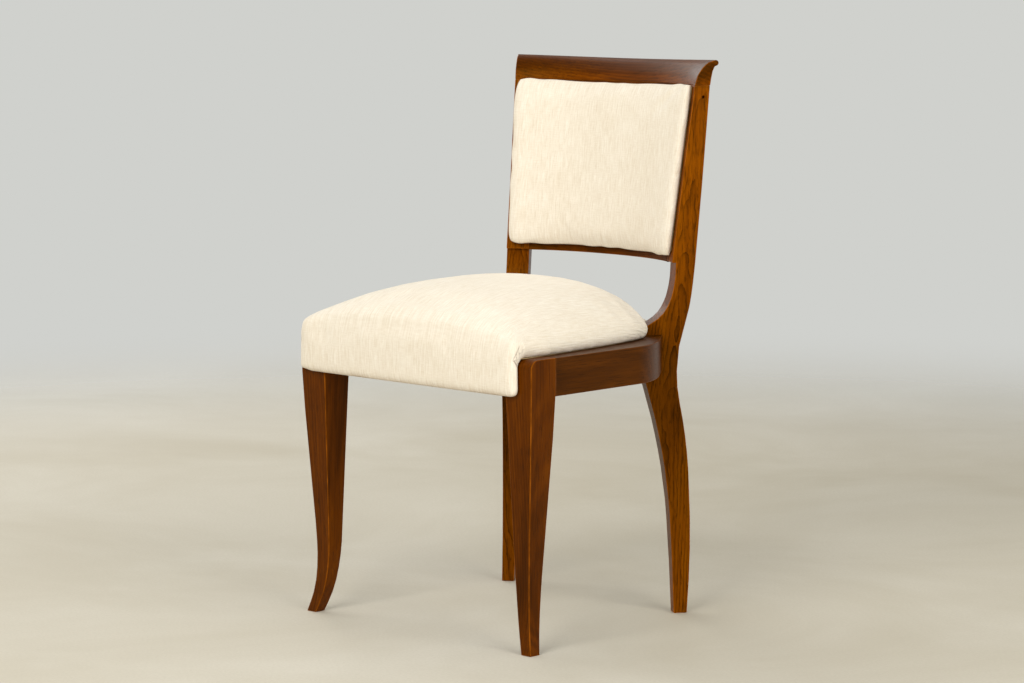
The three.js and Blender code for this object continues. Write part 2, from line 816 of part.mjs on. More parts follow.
// One band from end to end, over and under the bands that it crosses.
function band(from, to, crossings, startsOver) {
  const way = new THREE.Vector3().subVectors(to, from).normalize();
  const across = new THREE.Vector3(-way.y, way.x, 0).multiplyScalar(webbingWidth * half);
  const lift = new THREE.Vector3(0, 0, webbingThick * half);
  const stations = [from.clone()];
  crossings.forEach((place, i) => {
    const rise = (i % 2 === 0) === startsOver ? wave : -wave;
    [-webbingWidth * half, webbingWidth * half].forEach((shift) => {
      stations.push(place.clone().addScaledVector(way, shift).add(new THREE.Vector3(0, 0, rise)));
    });
  });
  stations.push(to.clone());
  return loft(stations.map((s) => [
    s.clone().sub(across).sub(lift), s.clone().add(across).sub(lift),
    s.clone().add(across).add(lift), s.clone().sub(across).add(lift),
  ]), ringOutline);
}

function webbing() {
  const boardX = postPlace(kneeTipDepth, postOut(railBottom) - postWidth(railBottom), 0).x;
  const reachX = boardX - webbingWidth * half - overrun;
  const lengthX = steps(-reachX, reachX, webbingLengthwise - 1);
  const frontRear = frontRailSetback + frontRailThick;
  const frontBand = frontRear + webbingLap + webbingWidth + overrun;
  const acrossY = steps(frontBand, cornerStart + webbingWidth, webbingAcross - 1);
  const bands = lengthX.map((x, i) => {
    const rear = rearRailPoint(x, webbingLap, webbingMiddle);
    const from = new THREE.Vector3(x, frontRear - webbingLap, webbingMiddle);
    const to = new THREE.Vector3(x, rear.y, webbingMiddle);
    return band(from, to, acrossY.map((y) => new THREE.Vector3(x, y, webbingMiddle)), i % 2 === 0);
  });
  acrossY.forEach((y, i) => {
    const reach = seatHalf(y + webbingWidth * half) - sideRailRearLedge + webbingLap;
    const from = new THREE.Vector3(-reach, y, webbingMiddle);
    const to = new THREE.Vector3(reach, y, webbingMiddle);
    bands.push(band(from, to, lengthX.map((x) => new THREE.Vector3(x, y, webbingMiddle)), i % 2 === 1));
  });
  return join(bands.map(toManifold));
}

// Height of the seat's dome by its share across from the middle and from front to rear.
function seatTop(across, rearward, edgeDrop) {
  if (rearward > 1) return railTop + apronRise - edgeDrop;
  const inFront = rearward < crownPeakShare;
  const near = inFront ? rearward / crownPeakShare : (1 - rearward) / (1 - crownPeakShare);
  const round = inFront ? crownFrontRound : crownRearRound;
  const ends = Math.max(0, 1 - (1 - near) ** crownEndPower) ** round;
  const sides = Math.max(0, 1 - Math.abs(across) ** crownSidePower) ** crownSideRound;
  return mix(seatFrontEdge, seatRearEdge, rearward) - edgeDrop + seatCrown * sides * ends;
}

// Grid over the seat's plan, closer together towards the edges, with a last row along the rear rail.
// The height is given by a function of the shares across and rearward, which is past one on that row.
function seatGrid(inset, height, columns = seatColumns) {
  const across = steps(-Math.PI * half, Math.PI * half, columns).map((turn) => Math.sin(turn));
  const rows = steps(0, Math.PI, seatRows).map((angle) => {
    const v = half - half * Math.cos(angle);
    const y = mix(-seatFrontProud + inset, seatRearY, v);
    return across.map((u) => new THREE.Vector3((seatHalf(y) - inset) * u, y, height(u, v)));
  });
  const rail = across.map((u) => rearRailPoint((apronHalf - inset) * u, apronDepth - inset, 0));
  return [...rows, rail.map((place, i) => place.setZ(height(across[i], apronRow)))];
}

function seatDome(inset, bottom) {
  return toManifold(slab(seatGrid(inset, (u, v) => seatTop(u, v, inset)), seatGrid(inset, () => bottom)));
}

function lip(inset, rear, bottom, reach) {
  const start = Math.min(rear, 0);
  const round = seatFrontProud - inset + start;
  const corner = steps(0, Math.PI * half, lipCornerSteps).map((angle) => [
    reach - round * (1 - Math.cos(angle)), start - round * Math.sin(angle),
  ]);
  const right = rear > start ? [[reach, rear], ...corner] : corner;
  const left = right.map(([x, y]) => [-x, y]).reverse();
  const outline = [...right, ...left].map(([x, y]) => new THREE.Vector2(x, y));
  return prism(outline, bottom, railTop + lipOverlap);
}

const hemReach = legInnerX - fit;
const hemRear = frontRailSetback + frontRailThick;
const hem = block(
  new THREE.Vector3(0, (hemRear - seatFrontProud) * half, seatDropFront + coverThick * half),
  xWay, 2 * hemReach, hemRear + seatFrontProud, coverThick,
);
const coverBottom = railTop + fit;
const seatOuter = seatDome(0, coverBottom).add(lip(0, -fit, seatDropFront, seatHalfFront)).add(hem);
const seatInner = seatDome(coverThick, coverBottom - overrun)
  .add(lip(coverThick, overrun, seatDropFront + coverThick, seatHalfFront - coverThick));
const boardsGrown = bothSides(boardGrown);

// Hessian over the springs: flat on the rails and lifted in the middle.
const hessianBottom = railTop + fit;
const hessianInset = coverThick + overrun;
function deck(lift) {
  const arch = (u, v) => (1 - u * u) * Math.sin(Math.PI * Math.min(v, 1));
  const height = (u, v) => hessianBottom + lift + deckRise * arch(u, v);
  return seatGrid(hessianInset, height, deckColumns);
}
const hessian = cut(toManifold(slab(deck(hessianThick), deck(0))), [boardsGrown])
  .intersect(seatDome(coverThick + fit, coverBottom - overrun));
const padInset = coverThick + 2 * fit;
const stuffingRoom = toManifold(slab(
  deck(hessianThick + fit),
  seatGrid(hessianInset, () => railTop - overrun, deckColumns),
));
const padLip = lip(padInset, -fit, seatDropFront + padInset, seatHalfFront - padInset);
const seatPad = cut(
  seatDome(padInset, hessianBottom + hessianThick + fit).add(padLip).intersect(seatInner),
  [stuffingRoom, boardsGrown],
);

// A waisted coil of open wire between the webbing and the hessian.
function spring(x, y, bottom, top) {
  const corners = steps(0, 2 * Math.PI, springWireSides).slice(1);
  const rings = steps(0, 1, springTurns * springStepsPerTurn).map((share) => {
    const turn = share * springTurns * 2 * Math.PI;
    const waist = 1 - (1 - springWaistShare) * Math.sin(Math.PI * share);
    const radius = springEndRadius * waist;
    const z = mix(bottom + springWire, top - springWire, share);
    const out = new THREE.Vector3(Math.cos(turn), Math.sin(turn), 0);
    const middle = new THREE.Vector3(x, y, z).addScaledVector(out, radius);
    return corners.map((angle) => middle.clone()
      .addScaledVector(out, springWire * Math.cos(angle))
      .add(new THREE.Vector3(0, 0, springWire * Math.sin(angle))));
  });
  return loft(rings, corners.map((angle) => new THREE.Vector2(Math.cos(angle), Math.sin(angle))));
}

function springs() {
  const middleY = (hemRear + cornerStart + springSpread) * half;
  const places = [[0, 0], [1, 1], [-1, 1], [1, -1], [-1, -1]].slice(0, springCount);
  const bottom = webbingMiddle + webbingThick * half + wave + fit - springSeat;
  return places.map(([i, j]) => {
    const x = i * springSpread;
    const y = middleY + j * springSpread;
    const u = (Math.abs(x) + springEndRadius) / (seatHalf(y) - hessianInset);
    const farY = y + j * springEndRadius;
    const v = (farY + seatFrontProud - hessianInset) / (seatRearY + seatFrontProud - 2 * hessianInset);
    const lifted = deckRise * (1 - u * u) * Math.sin(Math.PI * v);
    return spring(x, y, bottom, hessianBottom + lifted - springSlack);
  });
}

// Dust cover tacked under the rails
const dustTop = webbingMiddle - webbingThick * half - wave - fit;
function sideTackX(y) {
  return seatHalf(y) - sideRailRearLedge + webbingLap + tackEdge;
}

// Inner end of the dust cover's rear edge, clear of the rear board.
const dustInner = postPlace(kneeTipDepth - dustMargin, -postRailWidth - dustMargin, 0);
const dustRearX = rearRailPoint(dustInner.x, 0, 0).x;

function dustOutline() {
  const sideY = steps(legTopSize + dustMargin, cornerStart, dustSideSteps);
  const cornerY = steps(cornerStart, cornerEndY - dustCornerClear + cornerClear, dustCornerSteps).slice(1);
  const right = [
    [legInnerX - dustMargin, frontRailSetback + dustEdge], [legInnerX - dustMargin, legTopSize + dustMargin],
    ...[...sideY, ...cornerY].map((y) => [sideTackX(y) + tackEdge - dustEdge, y]),
  ];
  const rear = steps(dustRearX, -dustRearX, dustRearSteps).map((x) => {
    const place = rearRailPoint(x, rearRailThick - dustEdge, 0);
    return [x, place.y];
  });
  const left = right.map(([x, y]) => [-x, y]).reverse();
  return [...right, [dustInner.x, dustInner.y], ...rear, [-dustInner.x, dustInner.y], ...left]
    .map(([x, y]) => new THREE.Vector2(x, y));
}

function tack(x, y, grow) {
  const head = new THREE.Vector3(x, y, dustTop - dustThick * half);
  const low = head.clone().setZ(head.z - tackHeadThick);
  const tip = new THREE.Vector3(x, y, railBottom + tackShankLength + grow);
  return pin(head.clone().setZ(head.z - tackHeadThick * half), tip, tackShankRadius + grow, tackSides)
    .add(pin(low, head, tackHeadRadius, tackSides));
}

function tackPlaces() {
  const places = [];
  const frontY = frontRailSetback + tackEdge;
  const frontCount = Math.round((2 * legInnerX - 2 * tackPitch) / tackPitch);
  steps(-legInnerX + tackPitch, legInnerX - tackPitch, frontCount).forEach((x) => places.push([x, frontY]));
  const sideCount = Math.round((cornerStart - legTopSize) / tackPitch);
  steps(legTopSize + tackPitch * half, cornerStart, sideCount).forEach((y) => {
    const x = sideTackX(y);
    places.push([x, y], [-x, y]);
  });
  rearTackShares.forEach((share) => {
    const place = rearRailPoint(share * dustRearX, rearRailThick - tackEdge, 0);
    places.push([place.x, place.y]);
  });
  return places;
}

const tackBodies = tackPlaces().map(([x, y]) => tack(x, y, 0));
const tackHoles = join(tackPlaces().map(([x, y]) => tack(x, y, fit)));
const seatCover = cut(seatOuter, [seatInner, boardsGrown, tackHoles]);
const dustCover = prism(dustOutline(), dustTop - dustThick, dustTop).add(join(tackBodies));

// Back upholstery, laid on the front faces of the posts and rails
const padBottom = lapHeight + padBottomLap;
const padTop = postTop + padTopLap;

function backGrid(inset, columns, rows, depthAt) {
  return steps(0, Math.PI, rows).map((angle) => {
    const v = -Math.cos(angle);
    const z = mix(padBottom + inset, padTop - inset, half + half * v);
    const baseZ = Math.min(z, postTop);
    const reach = postPlace(postFront(baseZ), postOut(baseZ), baseZ).x - padMargin - inset;
    return steps(-Math.PI * half, Math.PI * half, columns).map((turn) => {
      const u = Math.sin(turn);
      return backPoint(reach * u, -depthAt(u, v), z, baseZ);
    });
  });
}

function padFace(tall, base) {
  const fall = (share) => 1 - Math.abs(share) ** padSidePower;
  return (u, v) => base + tall * (fall(u) * fall(v)) ** padSideRound;
}

const backCover = slab(
  backGrid(0, padColumns, padRows, padFace(padHeight - facetFit, facetFit)),
  backGrid(coverThick, padColumns, padRows, padFace(padHeight - facetFit - coverThick, facetFit)),
);
const liningDeep = facetFit + liningThick;
const backPadInset = coverThick + padRoom;
const backPadTall = padHeight - coverThick - liningDeep - fit - padSlack;
const backPad = slab(
  backGrid(backPadInset, padColumns, padRows, padFace(backPadTall, liningDeep + 2 * fit)),
  backGrid(backPadInset, padColumns, padRows, () => liningDeep + fit),
);
const backLining = slab(
  backGrid(backPadInset, padColumns, padRows, () => liningDeep),
  backGrid(backPadInset, padColumns, padRows, () => facetFit),
);

// Outside back: a thin curved board between the posts with its own lightly padded cloth
function openingGrid(columns, rows, depthAt) {
  const bottom = lapHeight + lowerRailHeight + fit;
  const top = postTop - topRailHeight - fit;
  return steps(0, 1, rows).map((share) => {
    const z = mix(bottom, top, share);
    const edge = postPlace(postFront(z), postOut(z) - postWidth(z) * half, z).x;
    return steps(-edge, edge, columns).map((x) => backPoint(x, depthAt(x / edge, share), z));
  });
}

const boardBack = boardDepth + boardThick;
const backBoard = cut(toManifold(slab(
  openingGrid(backRailStations, boardRows, () => boardDepth),
  openingGrid(backRailStations, boardRows, () => boardBack),
)), [boardsGrown]);
const outsideCover = cut(toManifold(slab(
  openingGrid(backRailStations, outsideRows, () => boardBack + fit),
  openingGrid(backRailStations, outsideRows, (u, share) => boardBack + fit + coverThick
    + outsideCrown * (1 - u ** outsidePower) * Math.sin(Math.PI * share)),
)), [boardsGrown]);

// Rails, cut to the pieces they meet and for what passes into them
const sideRailTools = [boardGrown, ...seatJointDowels(fit), ...frontScrewHoles, ...rearScrewHoles, tackHoles];
const sideRailCut = cut(sideRail(), sideRailTools).add(sideRailTenon(0));
const frontRailTools = [...frontScrewHoles.map(bothSides), tackHoles];
const frontRailCut = cut(frontRailBox, frontRailTools).add(bothSides(frontRailTenon(0)));
const rearRailCut = betweenPosts(rearRail(), rearTenon).subtract(tackHoles);
const crestCut = cut(crest(), crestDowels(fit).map(bothSides));
const lowerBackRail = betweenPosts(
  backRail(lapHeight - lowerRailDrop, lapHeight + lowerRailHeight),
  lowerTenon,
);
const topBackRail = betweenPosts(backRail(postTop - topRailHeight, postTop - fit), topTenon);

// The pieces
addPair('front_leg', fromManifold(frontLegCut), polished);
addPair('rear_leg', fromManifold(rearBoardCut), polished);
addPair('side_rail', fromManifold(sideRailCut), shaded);
add('front_rail', fromManifold(frontRailCut), beech);
add('rear_rail', fromManifold(rearRailCut), shaded);
add('crest_rail', fromManifold(crestCut), polished);
add('lower_back_rail', fromManifold(lowerBackRail), shaded);
add('top_back_rail', fromManifold(topBackRail), shaded);
addPairs('crest_dowel', crestDowels(0), beech);
addPairs('seat_joint_dowel', seatJointDowels(0), beech);
addPair('corner_block_front', fromManifold(frontBlock), beech);
addPair('corner_block_rear', fromManifold(rearBlock), beech);
addPairs('front_block_screw', frontBlockScrews(), steel);
addPairs('rear_block_screw', rearBlockScrews(), steel);
add('seat_webbing', fromManifold(webbing()), jute);
springs().forEach((coil, i) => add(`seat_spring_${i + 1}`, coil, steel));
add('seat_hessian', fromManifold(hessian), jute);
add('seat_pad', fromManifold(seatPad), stuffing);
add('seat_cover', fromManifold(seatCover), cream);
add('dust_cover', fromManifold(dustCover), cambric);
add('back_lining', backLining, jute);
add('back_pad', backPad, stuffing);
add('back_cover', backCover, cream);
add('outside_back_board', fromManifold(backBoard), beech);
add('outside_back_cover', fromManifold(outsideCover), cream);

// Origin: the middle of the chair's box at the floor
const box = new THREE.Box3().setFromObject(chair);
const middle = box.getCenter(new THREE.Vector3());
const placed = new THREE.Group();
placed.add(chair);
placed.position.set(-middle.x, -middle.y, -box.min.z);
placed.updateMatrixWorld(true);

export default placed;
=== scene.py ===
# A klismos dining chair: polished wood frame, cream cloth seat and back. Blender 4.5, metres.
import bpy
import bmesh
import math
import numpy as np
from mathutils import Matrix, Vector
from mathutils.bvhtree import BVHTree


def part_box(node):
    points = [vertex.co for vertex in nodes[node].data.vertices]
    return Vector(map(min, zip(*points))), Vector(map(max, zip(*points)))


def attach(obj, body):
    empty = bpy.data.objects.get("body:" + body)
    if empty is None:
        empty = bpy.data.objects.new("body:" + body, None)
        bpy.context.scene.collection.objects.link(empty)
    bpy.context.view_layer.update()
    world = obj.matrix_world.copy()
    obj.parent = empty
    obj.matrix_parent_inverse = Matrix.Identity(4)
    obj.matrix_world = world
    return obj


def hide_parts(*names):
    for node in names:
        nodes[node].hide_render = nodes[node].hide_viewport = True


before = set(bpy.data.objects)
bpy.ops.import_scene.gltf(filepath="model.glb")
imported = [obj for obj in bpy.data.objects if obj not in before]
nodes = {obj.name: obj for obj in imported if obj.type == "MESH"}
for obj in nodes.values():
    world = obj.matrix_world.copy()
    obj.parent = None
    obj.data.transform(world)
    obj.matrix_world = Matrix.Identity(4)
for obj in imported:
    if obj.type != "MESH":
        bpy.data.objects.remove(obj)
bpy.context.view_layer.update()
scene = bpy.context.scene
sides = ("left", "right")

# Camera of the photograph
camera_place = (3.38652, -3.55696, 1.02141)
camera_tilt, camera_turn = 83.065832, 43.858553
camera_lens, camera_sensor = 111.753, 36.0
# Lamps: name, place, point they face, width, height, power
lamps = [
    ("front", (0.75, -3.4, 2.6), (0.0, 0.0, 0.5), 2.2, 1.8, 87.0),
    ("left", (-3.3, 0.45, 2.3), (0.0, 0.0, 0.5), 3.4, 2.4, 62.0),
    ("right", (3.4, -0.4, 1.9), (0.0, 0.0, 0.45), 2.2, 2.0, 62.0),
    ("low", (3.2, -3.36, 1.66), (-0.15, 0.15, 0.7), 0.5, 0.4, 12.0),
]
# World: its colour, its light on the chair, and its strength where it is seen
world_colour = (0.955, 0.965, 0.925, 1)
world_strength, background = 0.42, 0.66
# Floor: its radius, where it starts to thin out, where it has gone, and how far it lies under the feet
floor_radius, floor_full, floor_gone, floor_drop = 4.2, 1.3, 4.0, 0.0002
floor_sides = 96


def srgb(r, g, b):
    """A colour written as 0 to 255 display values, as linear numbers."""
    linear = [v / 255 / 12.92 if v <= 10.3 else ((v / 255 + 0.055) / 1.055) ** 2.4 for v in (r, g, b)]
    return (*linear, 1.0)


def darker(colour, share):
    """A colour with each of its parts times share."""
    return (*(v * share for v in colour[:3]), 1)


# Camera and lamps
camera = bpy.data.objects.new("camera", bpy.data.cameras.new("camera"))
scene.collection.objects.link(camera)
camera.location = camera_place
camera.rotation_euler = (math.radians(camera_tilt), 0, math.radians(camera_turn))
camera.data.lens = camera_lens
camera.data.sensor_width = camera_sensor
scene.camera = camera
scene.view_settings.view_transform = "Standard"

for name, place, aim, width, height, power in lamps:
    light = bpy.data.lights.new(name, "AREA")
    light.shape = "RECTANGLE"
    light.size, light.size_y, light.energy = width, height, power
    lamp = bpy.data.objects.new(name, light)
    scene.collection.objects.link(lamp)
    lamp.location = place
    lamp.rotation_euler = (Vector(aim) - Vector(place)).to_track_quat("-Z", "Y").to_euler()


class Shader:
    """One node material. Values go into inputs by name or number, and may be other nodes' outputs."""

    # Nearly all of a noise lies between these two values
    noise_low, noise_high = 0.3, 0.7

    def __init__(self, name, tree=None):
        if tree is None:
            self.material = bpy.data.materials.new(name)
            self.material.use_nodes = True
            tree = self.material.node_tree
        self.tree = tree
        self.surface = tree.nodes.get("Principled BSDF")

    def put(self, socket, value):
        if isinstance(value, bpy.types.NodeSocket):
            self.tree.links.new(value, socket)
        else:
            socket.default_value = value

    def add(self, kind, inputs=None, out=0, **settings):
        made = self.tree.nodes.new(kind)
        for key, value in settings.items():
            setattr(made, key, value)
        for key, value in (inputs or {}).items():
            self.put(made.inputs[key], value)
        return made.outputs[out]

    def math(self, operation, *values):
        return self.add("ShaderNodeMath", dict(enumerate(values)), operation=operation)

    def plus(self, a, b):
        return self.math("ADD", a, b)

    def minus(self, a, b):
        return self.math("SUBTRACT", a, b)

    def times(self, a, b):
        return self.math("MULTIPLY", a, b)

    def reach(self, a, b):
        """How far the point a, b lies from the middle."""
        return self.math("SQRT", self.plus(self.math("POWER", a, 2.0), self.math("POWER", b, 2.0)))

    def stored(self, name, out="Fac"):
        """A value kept in the mesh under a name."""
        return self.add("ShaderNodeAttribute", out=out, attribute_name=name)

    def place(self):
        return self.add("ShaderNodeTexCoord", out="Object")

    def part(self, vector, index):
        made = self.tree.nodes.new("ShaderNodeSeparateXYZ")
        self.put(made.inputs[0], vector)
        return made.outputs[index]

    def stretch(self, vector, scale, location=(0, 0, 0), rotation=(0, 0, 0)):
        return self.add("ShaderNodeMapping", {
            "Vector": vector, "Scale": scale, "Location": location, "Rotation": rotation})

    def noise(self, vector, scale, detail=2.0, rough=0.5, bend=0.0):
        """Noise of one scale all ways, or of a scale for each way."""
        if hasattr(scale, "__len__"):
            vector, scale = self.stretch(vector, scale), 1.0
        return self.add("ShaderNodeTexNoise", {
            "Vector": vector, "Scale": scale, "Detail": detail, "Roughness": rough, "Distortion": bend})

    def ramp(self, value, stops):
        made = self.tree.nodes.new("ShaderNodeValToRGB")
        line = made.color_ramp
        while len(line.elements) < len(stops):
            line.elements.new(0.5)
        for element, (place, colour) in zip(line.elements, stops):
            element.position = place
            element.color = colour if hasattr(colour, "__len__") else (colour, colour, colour, 1)
        self.put(made.inputs[0], value)
        return made.outputs[0]

    def span(self, value, low, high, to_low=0.0, to_high=1.0):
        return self.add("ShaderNodeMapRange", {0: value, 1: low, 2: high, 3: to_low, 4: to_high})

    def spread(self, noise, low, high):
        """A noise brought to the range from low to high."""
        return self.span(noise, self.noise_low, self.noise_high, low, high)

    def mix(self, share, a, b, kind="MIX"):
        made = self.tree.nodes.new("ShaderNodeMix")
        made.data_type, made.blend_type = "RGBA", kind
        self.put(made.inputs[0], share)
        self.put(made.inputs[6], a)
        self.put(made.inputs[7], b)
        return made.outputs[2]

    def bump(self, height, strength, distance, under=None):
        made = self.tree.nodes.new("ShaderNodeBump")
        self.put(made.inputs["Height"], height)
        made.inputs["Strength"].default_value = strength
        made.inputs["Distance"].default_value = distance
        if under is not None:
            self.put(made.inputs["Normal"], under)
        return made.outputs[0]

    def finish(self, colour, roughness, normal=None, **fixed):
        self.put(self.surface.inputs["Base Color"], colour)
        self.put(self.surface.inputs["Roughness"], roughness)
        if normal is not None:
            self.put(self.surface.inputs["Normal"], normal)
        for key, value in fixed.items():
            self.surface.inputs[key.replace("_", " ")].default_value = value
        return self.material


# World
def studio():
    """A pale background where the world is seen or mirrored, and a softer fill on the chair."""
    world = bpy.data.worlds.new("studio")
    scene.world = world
    world.use_nodes = True
    s = Shader("studio", world.node_tree)
    paths = world.node_tree.nodes.new("ShaderNodeLightPath")
    seen = s.math("MAXIMUM", paths.outputs["Is Camera Ray"], paths.outputs["Is Transmission Ray"])
    seen = s.math("MAXIMUM", seen, paths.outputs["Is Glossy Ray"])
    back = world.node_tree.nodes["Background"]
    back.inputs["Color"].default_value = world_colour
    s.put(back.inputs["Strength"], s.span(seen, 0, 1, world_strength, background))


# Floor
def floor_finish():
    """Pale worn concrete: soft clouds and faint speckle, thinning out far from the chair."""
    s = Shader("floor_concrete")
    cloud_scale, speck_scale, speck_height = 1.6, 210, 0.0006
    where = s.place()
    clouds = s.noise(where, cloud_scale, 6, 0.62, 0.5)
    speck = s.noise(where, speck_scale, 2, 0.5)
    tone = s.mix(s.span(clouds, 0.35, 0.7), srgb(201, 192, 172), srgb(216, 209, 193))
    tone = s.mix(s.span(speck, 0.35, 0.7, 0, 0.18), tone, srgb(180, 170, 150))
    out = s.reach(s.part(where, 0), s.part(where, 1))
    shown = s.add("ShaderNodeMapRange", {0: out, 1: floor_full, 2: floor_gone, 3: 1.0, 4: 0.0},
                  interpolation_type="SMOOTHERSTEP")
    s.put(s.surface.inputs["Alpha"], shown)
    bumped = s.bump(speck, 0.15, speck_height)
    return s.finish(tone, s.spread(clouds, 0.6, 0.8), bumped, Specular_IOR_Level=0.2)


def lay_floor():
    bm = bmesh.new()
    bmesh.ops.create_circle(bm, cap_ends=True, radius=floor_radius, segments=floor_sides)
    floor = bpy.data.objects.new("floor", bpy.data.meshes.new("floor"))
    bm.to_mesh(floor.data)
    bm.free()
    floor.data.materials.append(floor_finish())
    scene.collection.objects.link(floor)
    floor.location.z = -floor_drop


studio()
lay_floor()

# Wood
post_turn = math.radians(35)


def figure_lines(s, where):
    """Pointed arches of dark late wood up the front of both rear posts, and short dark flecks."""
    heart_out, heart_deep, heart_lean = 0.04673, 0.1759, 0.11
    line_gap, arch_rise, wander_by = 0.0046, 0.062, 0.006
    wander_scale, jitter_scale = (9, 9, 5), (60, 60, 22)
    break_scale, fleck_scale = (30, 30, 13), (300, 300, 62)
    side = s.math("ABSOLUTE", s.part(where, 0))
    behind, height = s.part(where, 1), s.part(where, 2)
    out = s.minus(s.times(side, math.cos(post_turn)), s.times(behind, math.sin(post_turn)))
    deep = s.plus(s.times(side, math.sin(post_turn)), s.times(behind, math.cos(post_turn)))
    wander = s.noise(where, wander_scale, 3, 0.55)
    out = s.plus(s.minus(out, heart_out), s.span(wander, 0.25, 0.75, -wander_by, wander_by))
    deep = s.minus(s.minus(deep, heart_deep), s.times(height, heart_lean))
    jitter = s.noise(where, jitter_scale, 3, 0.6)
    phase = s.plus(s.math("DIVIDE", s.reach(out, deep), line_gap), s.math("DIVIDE", height, arch_rise))
    phase = s.plus(phase, s.span(jitter, 0.2, 0.8, -0.28, 0.28))
    lines = s.math("POWER", s.math("FRACT", phase), 4.0)
    lines = s.times(lines, s.span(s.noise(where, break_scale, 3, 0.6), 0.3, 0.56))
    flecks = s.span(s.noise(where, fleck_scale, 2, 0.5), 0.56, 0.7, 0, 0.55)
    return lines, flecks


def wood(name, dark, middle, light, turn=(0, 0, 0), seed=0.0, gloss=0.33, heart=(0.11, 0.05), painted_light=None,
         figured=False, edge=srgb(176, 98, 22), blotch=1.0):
    """Polished walnut: growth rings about a distant heart, fibre, pores, blotches and lighter arrises, partly
    wear and partly painted highlight.
    The grain runs along the piece's own Z after turn. Painted light, where given, multiplies the colour by
    height."""
    s = Shader(name)
    rings_per_metre, sway_by, grain_height = 1150.0, 0.018, 0.0004
    sway_scale, fibre_scale = (7, 7, 1.7), (210, 210, 5)
    pore_scale, cloud_scale = (820, 820, 26), (11, 11, 3.4)
    wear_and_highlight_scale = 40
    ring_share, fibre_share, cloud_low = (0.02, 0.5, -0.06) if figured else (0.06, 0.62, -0.12)
    where = s.place()
    place = s.stretch(where, (1, 1, 1), (seed, seed * 0.37, seed * 1.9), turn)
    bent = s.span(s.noise(place, sway_scale, 3, 0.5), 0, 1, -sway_by, sway_by)
    across = s.plus(s.plus(s.part(place, 0), heart[0]), bent)
    deep = s.plus(s.plus(s.part(place, 1), heart[1]), bent)
    rings = s.math("SINE", s.times(s.reach(across, deep), rings_per_metre))
    fibre = s.noise(place, fibre_scale, 4, 0.62)
    pores = s.span(s.noise(place, pore_scale, 2, 0.5), 0.56, 0.68)
    clouds = s.noise(place, cloud_scale, 3, 0.55, 0.4)
    tone = s.plus(s.times(rings, ring_share), s.times(fibre, fibre_share))
    tone = s.plus(tone, s.span(clouds, 0.3, 0.72, cloud_low * blotch, 0.11 + 0.23 * blotch))
    colour = s.ramp(tone, [(0.12, dark), (0.42, middle), (0.78, light)])
    black = darker(dark, 0.35)
    colour = s.mix(s.times(pores, 0.55), colour, black)
    if figured:
        lines, flecks = figure_lines(s, where)
        colour = s.mix(lines, colour, black)
        colour = s.mix(flecks, colour, black)
    # Painted light by height: painted shade and painted highlight multiplied into the colour
    if painted_light:
        colour = s.mix(1.0, colour, s.ramp(s.part(where, 2), painted_light), "MULTIPLY")
    # Lighter arrises: partly wear, partly a painted highlight along the rounded edges
    wear_and_highlight = s.times(s.stored("arris"), s.spread(s.noise(place, wear_and_highlight_scale, 3, 0.6), 0.06, 0.62))
    colour = s.mix(wear_and_highlight, colour, edge)
    rough = s.plus(s.spread(clouds, gloss - 0.05, gloss + 0.06), s.times(pores, 0.12))
    bumped = s.bump(s.minus(fibre, pores), 0.16, grain_height)
    return s.finish(colour, rough, bumped, Specular_IOR_Level=0.13, Specular_Tint=(1.0, 0.55, 0.08, 1))


# Turns that lay the grain along X and along Y
along_x, along_y = (0, math.radians(90), 0), (math.radians(90), 0, 0)
# Painted light by height on the posts and the crest: painted shade on the posts under the seat and down the
# legs, a painted highlight on the crest's lower band and painted shade above it. The joint between posts and
# crest is dark
post_painted_light = [(0.0, 0.72), (0.1, 0.66), (0.3, 0.42), (0.4, 0.45), (0.55, 0.82), (0.8, 1.0), (0.8198, 1.0),
             (0.8211, 0.35)]
crest_painted_light = [(0.8218, 0.3), (0.8232, 1.3), (0.829, 1.15), (0.836, 0.78), (0.848, 0.56), (0.858, 0.8)]
woods = {
    "leg": wood("walnut_leg", srgb(60, 24, 0), srgb(90, 41, 0), srgb(117, 59, 0), seed=0.3),
    "post": wood("walnut_post", srgb(96, 42, 0), srgb(140, 72, 0), srgb(168, 96, 2), turn=(0, 0, post_turn),
                 seed=1.7, heart=(0.08, 0.02), figured=True, painted_light=post_painted_light),
    "rail": wood("walnut_rail", srgb(48, 20, 0), srgb(72, 34, 0), srgb(92, 46, 2), turn=along_y, seed=2.9,
                 edge=srgb(118, 70, 38)),
    "crest": wood("walnut_crest", srgb(60, 26, 0), srgb(98, 45, 0), srgb(126, 66, 0), turn=along_x, seed=4.1,
                  gloss=0.38, blotch=1.5, painted_light=crest_painted_light),
    "cross": wood("walnut_cross_rail", srgb(52, 22, 0), srgb(88, 40, 0), srgb(116, 58, 4), turn=along_x,
                  seed=5.3),
    "block": wood("beech_block", srgb(150, 112, 70), srgb(184, 142, 96), srgb(206, 168, 122), turn=along_x,
                  seed=6.1, gloss=0.6),
}
# Wooden pieces: how near points are joined, the angle of flat faces, and the least angle of an arris
weld, flat_angle, sharp_angle = 1e-6, math.radians(1.2), math.radians(33)
# The shortest arris that is rounded, its rounding and the steps of it
shortest_arris, arris_round, arris_steps = 0.0035, 0.0012, 3
# A face with more corners than this is cut into triangles, because it may be hollow
many_corners = 30


def merged(node_names, name):
    """A new mesh object from CAD nodes, with the split corners joined again."""
    bm = bmesh.new()
    for node in node_names:
        bm.from_mesh(nodes[node].data)
    bmesh.ops.remove_doubles(bm, verts=bm.verts, dist=weld)
    piece = bpy.data.objects.new(name, bpy.data.meshes.new(name))
    scene.collection.objects.link(piece)
    return piece, bm


def smooth_shaded(mesh):
    for face in mesh.polygons:
        face.use_smooth = True


def refinish(piece, material):
    piece.data.materials.clear()
    piece.data.materials.append(material)


